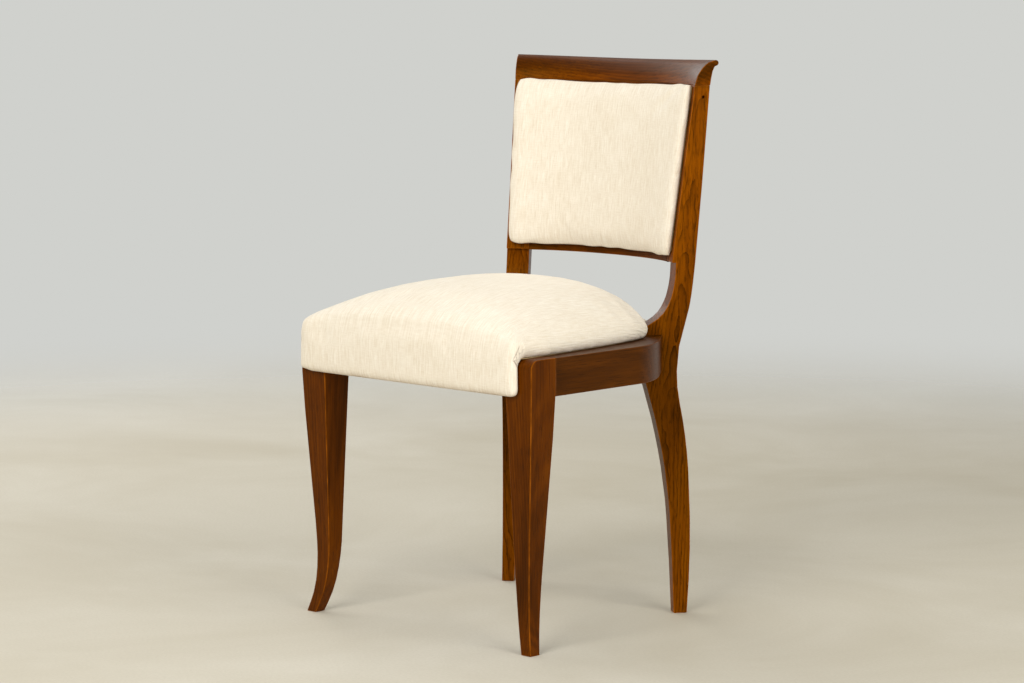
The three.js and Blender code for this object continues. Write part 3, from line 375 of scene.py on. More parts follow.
def timber(node, finish):
    """A wooden piece: the CAD solid, its flat faces made whole, arrises rounded and curves shaded smooth."""
    piece, bm = merged([node], f"wood_{node}")
    layer = bm.faces.layers.float.new("arris")
    bmesh.ops.dissolve_limit(bm, angle_limit=flat_angle, verts=bm.verts, edges=bm.edges)
    bm.normal_update()
    edges = [e for e in bm.edges if len(e.link_faces) == 2 and e.calc_face_angle_signed(0) > sharp_angle
             and e.calc_length() > shortest_arris]
    made = bmesh.ops.bevel(bm, geom=edges, offset=arris_round, offset_type="OFFSET", segments=arris_steps,
                           profile=0.5, affect="EDGES", clamp_overlap=False)
    for face in made["faces"]:
        face[layer] = 1.0
    bmesh.ops.triangulate(bm, faces=[face for face in bm.faces if len(face.verts) > many_corners])
    for face in bm.faces:
        face.smooth = True
    bm.to_mesh(piece.data)
    bm.free()
    piece.data.materials.append(woods[finish])
    weigh = piece.modifiers.new("weigh", "WEIGHTED_NORMAL")
    weigh.keep_sharp = False
    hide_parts(node)
    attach(piece, "root")


for side in sides:
    timber(f"front_leg_{side}", "leg")
    timber(f"rear_leg_{side}", "post")
    timber(f"side_rail_{side}", "rail")
for node, finish in (("crest_rail", "crest"), ("lower_back_rail", "cross"), ("rear_rail", "cross")):
    timber(node, finish)

hidden_woods = {"front_rail": "block", "top_back_rail": "cross", "outside_back_board": "block"}
for node, piece in nodes.items():
    kind = hidden_woods.get(node) or ("block" if "block" in node or "dowel" in node else None)
    if kind and "screw" not in node:
        refinish(piece, woods[kind])


# Cloth
def cloth(name, shade, pale, warp_scale=1150.0, weft_scale=760.0, painted_shade_tone=None):
    """Plain woven cloth with slubs, drawn on the thread lengths kept in each mesh's weave attribute.
    Other attributes say where painted shade darkens it along its lower edges, where it is rucked, and where
    its creases run, which get painted shade too."""
    s = Shader(name)
    warp_gap, weft_gap, weave_height = 0.00115, 0.00135, 0.0011
    warp_run, weft_run = 62, 70
    slow_scale, broad_scale, ruck_scale, shade_patch_scale = (16, 11, 1), (420, 34, 1), (230, 24, 1), 19
    ruck_height, crease_half, crease_depth = 0.0036, 0.0017, 0.0025
    threads, painted_edge_shade = s.stored("weave", "Vector"), s.stored("painted_edge_shade")
    slow = s.noise(threads, slow_scale, 3, 0.55)
    warp = s.noise(threads, (warp_scale, warp_run, 1), 3, 0.62)
    weft = s.noise(threads, (weft_run, weft_scale, 1), 3, 0.6)
    broad = s.noise(threads, broad_scale, 2, 0.5)
    fine = s.times(s.math("SINE", s.times(s.part(threads, 0), 2 * math.pi / warp_gap)),
                   s.math("SINE", s.times(s.part(threads, 1), 2 * math.pi / weft_gap)))
    height = s.plus(s.times(warp, 0.55), s.times(weft, 0.34))
    height = s.plus(height, s.times(broad, 0.5))
    height = s.plus(height, s.times(fine, 0.05))
    tone = s.plus(height, s.spread(slow, -0.03, 0.03))
    colour = s.mix(s.span(tone, 0.46, 0.9), shade, pale)
    # Painted shade along the lower edges, in patches, in the darker tone
    shade_patches = s.span(s.noise(threads, shade_patch_scale, 4, 0.65), 0.52, 0.78, 0, 0.6)
    colour = s.mix(s.times(painted_edge_shade, s.plus(shade_patches, 0.4)), colour, painted_shade_tone or darker(shade, 0.62))
    bumped = s.bump(height, 0.5, weave_height)
    rucks = s.times(s.stored("ruck"), s.noise(threads, ruck_scale, 2, 0.5, 0.5))
    bumped = s.bump(rucks, 1.0, ruck_height, bumped)
    aside, show = s.stored("fold_side", "Vector"), s.stored("fold_show", "Vector")
    crease = 0.0
    for i in range(3):
        line = s.span(s.math("ABSOLUTE", s.part(aside, i)), 0.0, crease_half, 1.0, 0.0)
        crease = s.plus(crease, s.times(s.math("POWER", line, 1.8), s.part(show, i)))
    # Painted shade in the creases
    colour = s.mix(s.times(crease, 0.62), colour, painted_shade_tone or shade)
    bumped = s.bump(crease, 1.0, -crease_depth, bumped)
    rough = s.span(tone, 0.4, 0.9, 0.95, 0.82)
    return s.finish(colour, rough, bumped, Sheen_Weight=0.18, Sheen_Roughness=0.5, Specular_IOR_Level=0.22)


# The cream cloth's painted shade is a tan tone
cream = cloth("cream_linen", srgb(226, 210, 184), srgb(250, 241, 224), painted_shade_tone=srgb(150, 112, 70))
hessian = cloth("jute_hessian", srgb(120, 96, 58), srgb(178, 150, 102), warp_scale=520, weft_scale=480)
cambric = cloth("dust_cambric", srgb(26, 25, 23), srgb(48, 46, 43))


def coordinates(mesh):
    co = np.zeros(len(mesh.vertices) * 3)
    mesh.vertices.foreach_get("co", co)
    return co.reshape(-1, 3)


def normals(mesh):
    out = np.zeros(len(mesh.vertices) * 3, np.float32)
    mesh.vertex_normals.foreach_get("vector", out)
    return out.reshape(-1, 3).astype(float)


def put_coordinates(mesh, co):
    mesh.vertices.foreach_set("co", co.astype(np.float32).ravel())
    mesh.update()


def ease(value, low, high):
    """From 0 at low to 1 at high, level at both ends."""
    t = np.clip((value - low) / (high - low), 0, 1)
    return t * t * (3 - 2 * t)


def hump(value, middle, width):
    """1 at the middle, falling away within about its width on both sides."""
    return np.exp(-((value - middle) / width) ** 2)


def store(mesh, name, values):
    """Keeps one number or one vector for each point of a mesh under a name."""
    if values.ndim == 2:
        layer = mesh.attributes.new(name, "FLOAT_VECTOR", "POINT")
        layer.data.foreach_set("vector", values.astype(np.float32).ravel())
    else:
        layer = mesh.attributes.new(name, "FLOAT", "POINT")
        layer.data.foreach_set("value", values.astype(np.float32))


# Frames that the cushions take to swell, and the pressure in them
swell_frames, swell_pressure = 20, 5.0


def plump(piece, pinned, cap):
    """Swells the piece as inflated cloth with some points held, none further than cap from its start."""
    start = coordinates(piece.data)
    group = piece.vertex_groups.new(name="held")
    for i in np.nonzero(pinned > 0)[0]:
        group.add([int(i)], float(pinned[i]), "REPLACE")
    swell = piece.modifiers.new("swell", "CLOTH")
    skin = swell.settings
    skin.quality = 5
    skin.mass = 0.35
    skin.tension_stiffness = skin.compression_stiffness = 22
    skin.shear_stiffness = 9
    skin.bending_stiffness = 0.6
    skin.use_pressure = True
    skin.uniform_pressure_force = swell_pressure
    skin.vertex_group_mass = "held"
    skin.effector_weights.gravity = 0
    swell.collision_settings.use_collision = False
    for i in range(1, swell_frames + 1):
        scene.frame_set(i)
    shown = piece.evaluated_get(bpy.context.evaluated_depsgraph_get())
    moved = coordinates(shown.data) - start
    far = np.linalg.norm(moved, axis=1, keepdims=True)
    piece.modifiers.remove(swell)
    piece.vertex_groups.remove(group)
    scene.frame_set(1)
    put_coordinates(piece.data, start + moved * (cap / (cap + far)))


def smooth_mesh(mesh, rounds, hold=None):
    """Evens out the points of a mesh without shrinking it; hold is 1 where a point stays."""
    inward, outward = 0.5, -0.5 * 1.04
    co = coordinates(mesh)
    pairs = np.zeros(len(mesh.edges) * 2, np.int64)
    mesh.edges.foreach_get("vertices", pairs)
    a, b = pairs.reshape(-1, 2).T
    count = np.bincount(a, minlength=len(co)) + np.bincount(b, minlength=len(co))
    for share in (inward, outward) * rounds:
        total = np.zeros_like(co)
        np.add.at(total, a, co[b])
        np.add.at(total, b, co[a])
        step = (total / np.maximum(count, 1)[:, None] - co) * share
        co += step if hold is None else step * (1 - hold[:, None])
    put_coordinates(mesh, co)


# A slanted way out of a solid, and the step past a face that it has crossed
way_out, past_face = Vector((0.37, 0.71, 0.6)).normalized(), 1e-6


def is_inside(tree, point):
    """Whether a line from the point out of the solid crosses its faces an odd number of times."""
    crossings = 0
    hit = tree.ray_cast(point, way_out)[0]
    while hit is not None:
        crossings += 1
        hit = tree.ray_cast(hit + way_out * past_face, way_out)[0]
    return crossings % 2 == 1


def keep_clear(mesh, node_names, gap=0.0002):
    """Moves the points of a soft piece that reach into solid pieces back out to their surface."""
    co = coordinates(mesh)
    for node in node_names:
        bm = bmesh.new()
        bm.from_mesh(nodes[node].data)
        tree = BVHTree.FromBMesh(bm)
        bm.free()
        low, high = (np.array(corner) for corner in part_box(node))
        for i in np.nonzero(np.all((co > low) & (co < high), axis=1))[0]:
            if is_inside(tree, Vector(co[i])):
                near, normal = tree.find_nearest(Vector(co[i]))[:2]
                co[i] = near + normal * gap
    put_coordinates(mesh, co)


def remeshed(node_names, name, voxel):
    """One closed skin round some CAD nodes, in even squares."""
    piece, bm = merged(node_names, name)
    bm.to_mesh(piece.data)
    bm.free()
    again = piece.modifiers.new("voxels", "REMESH")
    again.mode = "VOXEL"
    again.voxel_size = voxel
    shown = piece.evaluated_get(bpy.context.evaluated_depsgraph_get())
    mesh = bpy.data.meshes.new_from_object(shown)
    piece.modifiers.clear()
    piece.data = mesh
    mesh.name = name
    smooth_shaded(mesh)
    return piece


def dress(piece, material, replaced):
    refinish(piece, material)
    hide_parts(*replaced)
    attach(piece, "root")


def cushion(piece, replaced):
    """Finishes a padded piece in the cream cloth, with its mesh divided once more."""
    finer = piece.modifiers.new("finer", "SUBSURF")
    finer.levels = finer.render_levels = 1
    dress(piece, cream, replaced)


# Seat: its front face, the tack line along the rails' tops, the lip's lower edge and the front edge's height
seat_front, tack_line, lip_low, edge_front = -0.2614235, 0.438, 0.3825, 0.4575
# How deep the lip is from front to rear, the squares of the seat's skin, and how far it may swell
lip_depth, seat_voxel, seat_swell = 0.02, 0.0055, 0.0035
# The front corners: where they begin across and forward, and how far they are moved as photographed
corner_from, corner_to = 0.17, 0.232
corner_start, corner_full = 0.19, 0.24
far_corner_out, near_corner_in, far_corner_forward = 0.0104, 0.0052, 0.0015
# The full cheeks beside the rear posts: how far out and back, at what height and how tall
cheek_out, cheek_back, cheek_height, cheek_tall = 0.0030, 0.0022, 0.458, 0.017
# The lip's lower corners: how far up and in
lip_corner_up, lip_corner_in = 0.0024, 0.0022
# The side wall above the tack line: how far drawn in, and the small bulge over it
tuck_in, tuck_tall, bulge_out, bulge_height, bulge_tall = 0.0035, 0.007, 0.0012, 0.014, 0.008
# Creases where the cover is folded round the seat's near front corner, and how strongly each shows
corner_folds = (((0.2256, -0.2498, 0.4578), (0.2204, -0.2590, 0.4377)),
                ((0.2204, -0.2590, 0.4377), (0.2249, -0.2531, 0.4274)),
                ((0.2235, -0.2560, 0.4480), (0.2249, -0.2531, 0.4300)))
fold_strengths = (0.4, 0.85, 0.3)
# Where a crease fades out beside it and below it, its width and depth, and the distance kept where none is
fold_reach, fold_thick, fold_width, fold_depth, no_fold = (0.006, 0.01), (0.007, 0.01), 0.0028, 0.0009, 0.05


def draw_folds(mesh, folds, far_shift):
    """Sinks creases into a mesh on both sides, and keeps how far each point lies beside each of them."""
    co, n = coordinates(mesh), normals(mesh)
    aside, show = np.full((len(co), 3), no_fold), np.zeros((len(co), 3))
    for i, ends in enumerate(folds):
        for sign, shift in ((1, 0.0), (-1, far_shift)):
            start, end = (np.array(((x + shift) * sign, y, z)) for x, y, z in ends)
            way = end - start
            facing = n[np.argmin(np.linalg.norm(co - (start + end) / 2, axis=1))]
            across = np.cross(way, facing)
            across /= np.linalg.norm(across)
            share = (co - start) @ way / (way @ way)
            off = (co - start) @ across
            deep = np.abs((co - start) @ facing)
            here = ease(share, -0.15, 0.15) * (1 - ease(share, 0.85, 1.15))
            here *= 1 - ease(np.abs(off), *fold_reach)
            here *= (1 - ease(deep, *fold_thick)) * fold_strengths[i]
            near = here > show[:, i]
            aside[near, i], show[near, i] = off[near], here[near]
    sunk = (show * hump(aside, 0, fold_width)).max(axis=1)
    put_coordinates(mesh, co - n * fold_depth * sunk[:, None])
    store(mesh, "fold_side", aside)
    store(mesh, "fold_show", show)


def seat_weave(co, n):
    """Thread lengths across and along the seat: over the crown, down its sides and down its front."""
    x, y, z = co.T
    crown_low, side_slope = 0.5, 1.15
    behind_lip = ease(y, seat_front + 0.004, seat_front + lip_depth)
    down_side = np.maximum(0, crown_low - z) * ease(np.abs(n[:, 0]), 0.25, 0.8) * behind_lip
    u = x + np.sign(x) * down_side * side_slope
    v = y - np.maximum(0, edge_front - z) * (1 - behind_lip)
    return np.stack([u, v, np.zeros_like(u)], axis=1)


def seat_skin():
    """The seat's solids as one even skin, brought back out to their surface where the squares cut corners."""
    shell, bm = merged(["seat_cover", "seat_pad"], "seat_skin")
    tree = BVHTree.FromBMesh(bm)
    bm.free()
    bpy.data.objects.remove(shell)
    piece = remeshed(["seat_cover", "seat_pad"], "seat_cushion", seat_voxel)
    smooth_mesh(piece.data, 3)
    co, n = coordinates(piece.data), normals(piece.data)
    for i, point in enumerate(co):
        near = tree.find_nearest(Vector(point))[0]
        if (np.array(near) - point) @ n[i] > 0:
            co[i] = near
    put_coordinates(piece.data, co)
    smooth_mesh(piece.data, 2)
    return piece


def shape_seat(co, n, lip):
    """The swelled seat as photographed: front corners, cheeks by the posts and a drawn-in tack line."""
    x, y, z = co.T
    front = ease(-y, corner_start, corner_full)
    x -= far_corner_out * ease(-x, corner_from, corner_to) * front
    x -= near_corner_in * ease(x, corner_from, corner_to) * front * (1 - 0.5 * ease(z, 0.44, 0.47))
    y -= far_corner_forward * ease(-x, corner_from, corner_to) * front
    full = ease(np.abs(x), 0.13, 0.175) * ease(y, -0.04, 0.05) * hump(z, cheek_height, cheek_tall)
    x += np.sign(x) * cheek_out * full
    y += cheek_back * full
    low_corner = ease(np.abs(x), 0.212, 0.228) * front * (1 - ease(z, lip_low + 0.0005, lip_low + 0.0115))
    z += lip_corner_up * low_corner
    x -= np.sign(x) * lip_corner_in * low_corner
    side = (np.abs(x) > 0.12) & ~lip & (np.abs(n[:, 2]) < 0.8)
    tuck = np.where(side, 1 - ease(z, tack_line, tack_line + tuck_tall), 0)
    bulge = np.where(side, hump(z, tack_line + bulge_height, bulge_tall), 0)
    co -= n * (tuck_in * tuck - bulge_out * bulge)[:, None] * np.array([1, 1, 0])


def seat_cushion():
    """The seat: the solid's form swelled as cloth, its far front corner full, its tack line drawn in."""
    piece = seat_skin()
    mesh = piece.data
    co, n = coordinates(mesh), normals(mesh)
    lip = co[:, 1] < seat_front + lip_depth
    held = np.where(lip, 1 - ease(co[:, 2], lip_low + 0.001, lip_low + 0.0095),
                    1 - ease(co[:, 2], tack_line + 0.001, tack_line + 0.012))
    plump(piece, np.where(n[:, 2] < -0.6, 1, held), seat_swell)
    co = coordinates(mesh)
    shape_seat(co, normals(mesh), lip)
    put_coordinates(mesh, co)
    smooth_mesh(mesh, 1)
    keep_clear(mesh, [f"{leg}_leg_{side}" for leg in ("front", "rear") for side in sides])
    draw_folds(mesh, corner_folds, far_corner_out + near_corner_in)
    co = coordinates(mesh)
    store(mesh, "weave", seat_weave(co, normals(mesh)))
    # Painted shade along the lip's lower edge and along the tack line
    low = np.where(lip, 1 - ease(co[:, 2], lip_low - 0.0005, lip_low + 0.0095),
                   1 - ease(co[:, 2], tack_line, tack_line + 0.01))
    store(mesh, "painted_edge_shade", low * 0.6)
    wall = (1 - ease(co[:, 2], tack_line + 0.012, tack_line + 0.05)) * ease(np.abs(co[:, 0]), 0.1, 0.16)
    store(mesh, "ruck", np.where(lip, 0, wall) * (0.35 + 0.65 * ease(co[:, 1], -0.05, 0.06)))
    cushion(piece, ["seat_cover", "seat_pad"])


# Back: the posts as the solids have them, their heights, place, front faces and outer edges
lap_height, post_top = 0.549, 0.8215
post_at = (0.1785, 0.387 - 0.2484235)
post_front = (0.0001, 0.0366)
post_out = (0.0073, -0.0096)
post_out_shares = np.array([
    [0, 1], [0.12, 0.896], [0.24, 0.828], [0.365, 0.704], [0.464, 0.639], [0.61, 0.576], [0.668, 0.51],
    [0.73, 0.408], [0.828, 0.243], [0.921, 0.118], [1, 0]])
post_width = ((lap_height, 0.0365), (post_top, 0.033))
# How deep the back is hollow between the posts, and how square that hollow is
back_bow, bow_power = 0.031, 2.4
# Back pad: lower and upper edge, margin to the posts' outer edges, thickness and how far it swells
pad_bottom, pad_top, pad_margin, pad_thick, pad_swell = 0.555, 0.8275, 0.0038, 0.0205, 0.006
# Its cross section: squareness, roundness, share of the fall at the widest point, and how far it rolls
pad_square, pad_round, pad_under, pad_roll = 9, 0.42, 0.78, math.radians(99)
# Points across and up, and the steps in which its cross section is measured
pad_columns, pad_rows, pad_steps = 92, 72, 1501
# Half sizes that place the pull and the rim, and half sizes that space its points
pad_half_wide, pad_half_tall = 0.183, 0.136
spaced_half_wide, spaced_half_tall = 0.185, 0.132
# How far its corners are drawn in, how far its top dips, its gap to the frame and its room for the lining
corner_pull, top_dip, frame_gap, lining_room = 0.0055, 0.0042, 0.0004, 0.002
# How far its rear is narrower, and between which distances from the rim the room for the lining opens
rear_in, lining_rise = 0.001, (0.0015, 0.0045)
# How full its sides are, and the waves in its sides and its top and bottom
side_full, side_wave, top_wave = 0.002, 0.0005, 0.0006
# The pull at its top right corner: place, direction, half width and depth
pull_at, pull_way, pull_width, pull_depth = (0.1537, 0.1278), (0.759, 0.651), 0.0085, 0.0044
# Where the pull comes in and goes out along its length, and the pad's thickness from which it is whole
pull_in, pull_out, pull_whole = (-0.014, 0.006), (0.02, 0.08), 0.012


def post_place(depth, out):
    """Distance from the middle plane and depth of a place on the turned post."""
    x = post_at[0] + depth * math.sin(post_turn) + out * math.cos(post_turn)
    y = post_at[1] + depth * math.cos(post_turn) - out * math.sin(post_turn)
    return x, y


def post_edges(z):
    """Outer and inner front corners of the post at a height."""
    base = np.minimum(z, post_top)
    front = post_front[0] + (post_front[1] - post_front[0]) * (base - lap_height) / (post_top - lap_height)
    share = np.interp(base / post_top, post_out_shares[:, 0], post_out_shares[:, 1])
    out = post_out[1] + (post_out[0] - post_out[1]) * share
    wide = np.interp(base, *zip(*post_width))
    return post_place(front, out), post_place(front, out - wide)


def back_point(x, depth, z):
    """Points of the hollow back, from distances to the middle plane, depths behind the front and heights."""
    outer, inner = post_edges(z)
    reach = np.abs(x)
    hollow = inner[1] + back_bow * (1 - np.minimum(reach / inner[0], 1) ** bow_power)
    on_post = inner[1] + (outer[1] - inner[1]) * (reach - inner[0]) / (outer[0] - inner[0])
    face = np.where(reach > inner[0], on_post, hollow)
    turn = post_turn * x / outer[0]
    return np.stack([x + depth * np.sin(turn), face + depth * np.cos(turn), z], axis=-1)


def back_reach(z):
    """How far the back pad reaches from the middle plane at a height."""
    return post_edges(z)[0][0] - pad_margin


def sheet_faces(rows, columns, first=0, flip=False):
    faces = []
    for r in range(rows - 1):
        for c in range(columns - 1):
            i = first + r * columns + c
            quad = (i, i + 1, i + columns + 1, i + columns)
            faces.append(quad[::-1] if flip else quad)
    return faces


def pad_fall(turn):
    """What is left of the pad's thickness, before rounding, at an angle of its cross section."""
    past = np.clip((np.abs(turn) - math.pi / 2) / (pad_roll - math.pi / 2), 0, 1)
    return np.maximum(1 - (pad_under + (1 - pad_under) * past) * np.abs(np.sin(turn)) ** pad_square, 0)


def even_turns(half_size, count):
    """Angles from edge to edge of the pad that come at even lengths along its cross section."""
    turn = np.linspace(-pad_roll, pad_roll, pad_steps)
    depth = pad_thick * pad_fall(turn) ** pad_round
    steps = np.hypot(np.diff(half_size * np.sin(turn)), np.diff(depth))
    length = np.concatenate([[0], np.cumsum(steps)])
    return np.interp(np.linspace(0, length[-1], count), length, turn)


def pad_front(u_turn, v_turn):
    """The front of the back pad: crowned, its edges rolled under, its corners drawn in and one pulled."""
    ut, vt = np.meshgrid(u_turn, v_turn)
    u, v = np.sin(ut), np.sin(vt)
    depth = pad_thick * (pad_fall(ut) * pad_fall(vt)) ** pad_round
    across, up = pad_half_wide * u - pull_at[0], pad_half_tall * v - pull_at[1]
    aside = across * pull_way[1] - up * pull_way[0]
    along = -across * pull_way[0] - up * pull_way[1]
    drawn = hump(aside, 0, pull_width) * ease(along, *pull_in) * (1 - ease(along, *pull_out))
    depth -= pull_depth * drawn * np.minimum(1, depth / pull_whole)
    pulled_in = corner_pull * (np.abs(u) ** 13) * (np.abs(v) ** 10)
    wave_u = side_wave * (np.sin(v * 13 + 1.3 * np.sin(v * 5)) * np.abs(u) ** 12)
    wave_v = top_wave * (np.sin(u * 19 + 1.7 * np.sin(u * 7)) * np.abs(v) ** 12)
    middle, half_tall = (pad_top + pad_bottom) / 2, (pad_top - pad_bottom) / 2
    z = middle + (half_tall + wave_v - pulled_in) * v - top_dip * (1 - u ** 2) * np.clip(v, 0, 1) ** 3
    x = (back_reach(z) + side_full + wave_u - pulled_in) * u
    return back_point(x, -depth - frame_gap, z), depth, u, v


def pad_rear(u_turn, v_turn):
    """The rear of the back pad: its rim on the frame, and its middle a little forward over the lining."""
    rim = math.sin(pad_roll)
    u, v = np.meshgrid(*(np.sin(turn[1:-1] * (math.pi / 2) / pad_roll) * rim for turn in (u_turn, v_turn)))
    pulled_in = rear_in + corner_pull * (np.abs(u) ** 13) * (np.abs(v) ** 10)
    middle, half_tall = (pad_top + pad_bottom) / 2, (pad_top - pad_bottom) / 2
    z = middle + (half_tall - pulled_in) * v - top_dip * (1 - u ** 2) * np.clip(v, 0, 1) ** 3
    inside = np.minimum((rim - np.abs(u)) * pad_half_wide, (rim - np.abs(v)) * pad_half_tall)
    forward = frame_gap + lining_room * ease(inside, *lining_rise)
    return back_point((back_reach(z) - pulled_in) * u, -forward, z)


def back_cushion():
    """The back pad: a boxed, crowned form whose edges roll under on to the frame."""
    u_turn = even_turns(spaced_half_wide, pad_columns)
    v_turn = even_turns(spaced_half_tall, pad_rows)
    front, depth, u, v = pad_front(u_turn, v_turn)
    rear = pad_rear(u_turn, v_turn)
    points = np.concatenate([front.reshape(-1, 3), rear.reshape(-1, 3)])
    faces = sheet_faces(pad_rows, pad_columns)
    # The rear uses the front's rim and has points of its own inside it
    index = np.arange(pad_rows * pad_columns).reshape(pad_rows, pad_columns)
    own = np.arange((pad_rows - 2) * (pad_columns - 2)).reshape(pad_rows - 2, pad_columns - 2)
    index[1:-1, 1:-1] = index.size + own
    for r in range(pad_rows - 1):
        for c in range(pad_columns - 1):
            faces.append((index[r, c], index[r + 1, c], index[r + 1, c + 1], index[r, c + 1]))
    mesh = bpy.data.meshes.new("back_cushion")
    mesh.from_pydata(points.tolist(), [], [tuple(int(i) for i in face) for face in faces])
    mesh.update()
    piece = bpy.data.objects.new("back_cushion", mesh)
    scene.collection.objects.link(piece)
    smooth_shaded(mesh)
    held = np.ones(len(points))
    held[:depth.size] = (1 - ease(depth, 0.0005, 0.006)).ravel()
    plump(piece, held, pad_swell)
    smooth_mesh(mesh, 2, hold=held)
    store(mesh, "weave", np.stack([points[:, 0] * 1.04, points[:, 2], np.zeros(len(points))], axis=1))
    # Painted shade along the pad's lower edge and, at half strength, its sides
    low = np.zeros(len(points))
    low[:depth.size] = np.maximum(ease(-v, 0.985, 1.0), 0.5 * ease(np.abs(u), 0.99, 1.0)).ravel()
    store(mesh, "painted_edge_shade", low * 0.7)
    cushion(piece, ["back_cover", "back_pad"])


# Sheets of cloth
def woven(name, grids, material, replaced, thick, pieces=(), offset=-1.0,
          flip=False):
    """Cloth from one or more grids of points, with its thread lengths measured along the grids."""
    points, faces, weave = [], [], []
    for grid in grids:
        rows, columns = grid.shape[:2]
        faces += sheet_faces(rows, columns, sum(len(p) for p in points), flip)
        points.append(grid.reshape(-1, 3))
        down = np.cumsum(np.linalg.norm(np.diff(grid, axis=0, prepend=grid[:1]), axis=2), axis=0)
        over = np.cumsum(np.linalg.norm(np.diff(grid, axis=1, prepend=grid[:, :1]), axis=2), axis=1)
        weave.append(np.stack([over, down, np.zeros_like(over)], axis=2).reshape(-1, 3))
    mesh = bpy.data.meshes.new(name)
    mesh.from_pydata(np.concatenate(points).tolist(), [], faces)
    mesh.update()
    smooth_shaded(mesh)
    store(mesh, "weave", np.concatenate(weave))
    piece = bpy.data.objects.new(name, mesh)
    scene.collection.objects.link(piece)
    solid = piece.modifiers.new("thickness", "SOLIDIFY")
    solid.thickness, solid.offset = thick, offset
    dress(piece, material, replaced)


# Outside back: lower edge and height, depth behind the front face, crown, and the cloth's thickness
outside_low, outside_tall, outside_deep, outside_crown, outside_thick = 0.5933, 0.1899, 0.0136, 0.0042, 0.0008
outside_half_wide, outside_span = 0.15, 0.19
outside_columns, outside_rows = 61, 45


def outside_cover():
    """Cloth over the outside back: crowned, its edges turned in on to the board behind it."""
    edge_roll, edge_rise, pull_height, pull_reach = 0.0035, 0.0012, 0.00035, 0.02
    across = np.sin(np.linspace(-math.pi / 2, math.pi / 2, outside_columns))
    upward = (1 - np.cos(np.linspace(0, math.pi, outside_rows))) / 2
    u, v = np.meshgrid(across, upward)
    z = outside_low + outside_tall * v
    half_wide = post_edges(z)[1][0] + frame_gap
    to_end = np.minimum(v, 1 - v) * outside_span
    crown = outside_crown * (1 - u ** 4) * np.sin(math.pi * v)
    roll = np.minimum(1, np.minimum((1 - np.abs(u)) * outside_half_wide, to_end) / edge_roll) ** 0.5
    pull = pull_height * np.sin(u * 31 + 2 * np.sin(u * 9)) * np.exp(-to_end / pull_reach)
    grid = back_point(u * half_wide, outside_deep + edge_rise * roll + crown + pull * roll, z)
    woven("outside_back_cloth", [grid], cream, ["outside_back_cover"],
          outside_thick, flip=True)


# Half widths of the dust cover from front to rear, its rear edge, and the places of its tacks on one side
dust_rows = ((-0.229, 0.185), (-0.1885, 0.185), (-0.1874, 0.2343), (-0.1584, 0.2318), (-0.1094, 0.2269),
             (-0.0603, 0.2214), (-0.0113, 0.2148), (0.0087, 0.2113), (0.0309, 0.2064), (0.0531, 0.2004),
             (0.0752, 0.1914), (0.0958, 0.151), (0.1162, 0.111), (0.172, 0.111))
dust_rear, dust_rear_curve = 0.1927, 0.0213
tack_places = ((0.0407, -0.2245), (0.122, -0.2245), (0.0, 0.1891), (0.0781, 0.1818), (0.2122, -0.0134),
               (0.2188, -0.0624), (0.2242, -0.1114), (0.2291, -0.1604))
tack_radius, tack_flatness, tack_sunk = 0.0036, 0.24, 0.0004
# Its height, the rise at its outer edge, the sag in the middle, the height of its folds and its thickness
dust_height, dust_edge_rise, dust_sag, dust_folds, dust_thick = 0.3786, 0.0009, 0.0009, 0.0004, 0.0005


def dust_half_width(y):
    return np.interp(y, *zip(*dust_rows))


def dust_level(x, y):
    """Height of the dust cover's upper face at a place."""
    wide = dust_half_width(y)
    edge = ease(np.abs(x), wide - 0.007, wide)
    middle = np.clip(1 - (x / 0.2) ** 2, 0, 1) * np.clip(1 - ((y + 0.03) / 0.2) ** 2, 0, 1)
    folds = dust_folds * np.sin(y * 70 + 4 * np.sin(x * 21)) * middle
    return dust_height + dust_edge_rise * edge - dust_sag * middle + folds


def dust_tacks():
    """Domed heads of the tacks that hold the dust cover."""
    bm = bmesh.new()
    for out, y in tack_places:
        for x in {out, -out}:
            low = dust_level(np.array([x]), np.array([y]))[0] - tack_sunk
            place = Matrix.Translation((x, y, low)) @ Matrix.Diagonal((1, 1, tack_flatness, 1))
            bmesh.ops.create_uvsphere(bm, u_segments=16, v_segments=8, radius=tack_radius, matrix=place)
    mesh = bpy.data.meshes.new("dust_tacks")
    bm.to_mesh(mesh)
    bm.free()
    tacks = bpy.data.objects.new("dust_tacks", mesh)
    scene.collection.objects.link(tacks)
    smooth_shaded(mesh)
    mesh.materials.append(steel("blued_steel", srgb(64, 66, 72), 0.4))
    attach(tacks, "root")
    return tacks


def dust_cover():
    """Black cloth under the seat, tacked along the rails and sagging a little."""
    short_step = 0.002
    rows = [np.linspace(a[0], b[0], 2 if b[0] - a[0] < short_step else 7)[:-1]
            for a, b in zip(dust_rows, dust_rows[1:])]
    rows.append(np.linspace(dust_rows[-1][0], dust_rear, 6))
    u, y = np.meshgrid(np.linspace(-1, 1, 61), np.concatenate(rows))
    x = u * dust_half_width(y)
    curved = y - ease(y, 0.12, dust_rear) * dust_rear_curve * (x / dust_rows[-1][1]) ** 2
    grid = np.stack([x, curved, dust_level(x, y)], axis=2)
    woven("dust_cloth", [grid], cambric, ["dust_cover"],
          dust_thick, pieces=[dust_tacks()])


# Webbing: places of the bands along and across the seat, and the half lengths of those across
bands_along, bands_across = (-0.0972, -0.0324, 0.0324, 0.0972), (-0.159, -0.0938, -0.0286, 0.0366)
band_reaches = (0.2212, 0.2144, 0.2055, 0.19)
# Front end of the bands along the seat, and the rear ends of the two inner and the two outer ones
band_front, band_rear_inner, band_rear_outer = -0.229, 0.182, 0.1684
# The bands' width, thickness and height, how far they rise and fall, their lap on the rails, and their points
band_width, band_thick, band_height, band_lift, band_lap = 0.05, 0.0011, 0.3801, 0.00057, 0.016
band_points, band_strands, band_steepness = 81, 7, 1.7


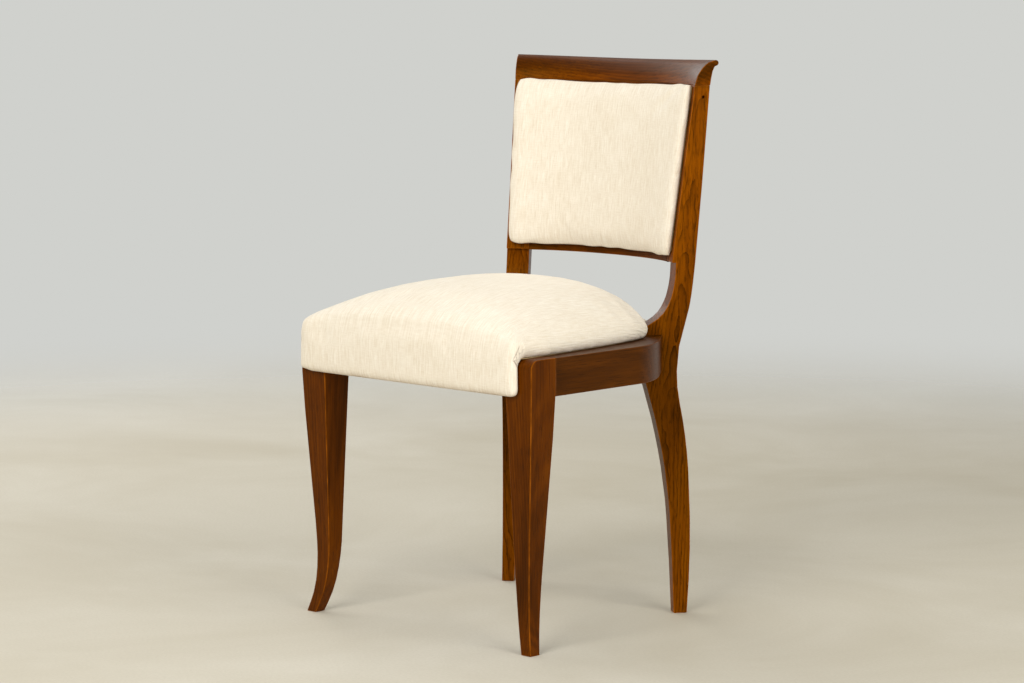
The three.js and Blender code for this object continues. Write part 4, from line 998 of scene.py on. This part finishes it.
def band(start, end, place, crossings, first, crosswise):
    """One band's grid: over and under the bands that it crosses, and level where it lies on the rails."""
    run = np.linspace(start, end, band_points)
    turns = [start + band_lap, *crossings, end - band_lap]
    lift = np.interp(run, turns, [0.0, *[first * (-1) ** i for i in range(len(crossings))], 0.0])
    lift = np.sin(np.clip(lift * band_steepness, -1, 1) * math.pi / 2) * band_lift
    over, along = np.meshgrid(np.linspace(-band_width / 2, band_width / 2, band_strands), run)
    height = band_height + np.repeat(lift[:, None], band_strands, axis=1)
    flat = (along, place + over) if crosswise else (place + over, along)
    return np.stack([*flat, height], axis=2)


def webbing():
    """Interlaced bands of jute, each going over and under those it crosses."""
    grids = []
    for i, x in enumerate(bands_along):
        rear = band_rear_inner if abs(x) < 0.05 else band_rear_outer
        grids.append(band(band_front, rear, x, bands_across, (-1) ** i, False))
    for i, (y, reach) in enumerate(zip(bands_across, band_reaches)):
        grids.append(band(-reach, reach, y, bands_along, -((-1) ** i), True))
    woven("webbing_bands", grids, hessian, ["seat_webbing"],
          band_thick, offset=0.0)


def laid_cloth(node, name, front=None):
    """A hidden layer of jute cloth: the solid's form, divided finely, with a little waviness.
    Where front is given, its last stretch is drawn back to that place."""
    stretch, wave_height = 0.1, 0.00015
    piece, bm = merged([node], name)
    bmesh.ops.subdivide_edges(bm, edges=bm.edges, cuts=1, use_grid_fill=True)
    bm.to_mesh(piece.data)
    bm.free()
    smooth_shaded(piece.data)
    co = coordinates(piece.data)
    if front is not None:
        fixed = front + stretch
        shorter = stretch / (fixed - co[:, 1].min())
        co[:, 1] = np.where(co[:, 1] < fixed, fixed + (co[:, 1] - fixed) * shorter, co[:, 1])
    wave = wave_height * np.sin(co[:, 0] * 150) * np.sin((co[:, 1] + co[:, 2]) * 140)
    put_coordinates(piece.data, co + np.array([0, 0, 1]) * wave[:, None])
    store(piece.data, "weave", np.stack([co[:, 0], co[:, 1] + co[:, 2], np.zeros(len(co))], axis=1))
    dress(piece, hessian, [node])


# Metal
def steel(name, tone, rough):
    """Drawn steel wire or turned steel: fine marks and faint tarnish."""
    s = Shader(name)
    mark_scale, dull_scale, mark_height = (900, 900, 240), 70, 0.0002
    where = s.place()
    marks = s.noise(where, mark_scale, 3, 0.6)
    dull = s.noise(where, dull_scale, 3, 0.6)
    colour = s.mix(s.span(dull, 0.4, 0.7, 0, 0.6), tone, darker(tone, 0.45))
    return s.finish(colour, s.spread(marks, rough - 0.08, rough + 0.12), s.bump(marks, 0.2, mark_height),
                    Metallic=0.95)


seat_cushion()
back_cushion()
outside_cover()
dust_cover()
webbing()
laid_cloth("seat_hessian", "hessian_sheet",
           front=-0.246)
laid_cloth("back_lining", "back_lining_sheet")
wire = steel("spring_wire", srgb(150, 138, 120), 0.35)
screw = steel("screw_metal", srgb(172, 164, 150), 0.3)
for node, piece in nodes.items():
    if "spring" in node or "screw" in node:
        refinish(piece, wire if "spring" in node else screw)
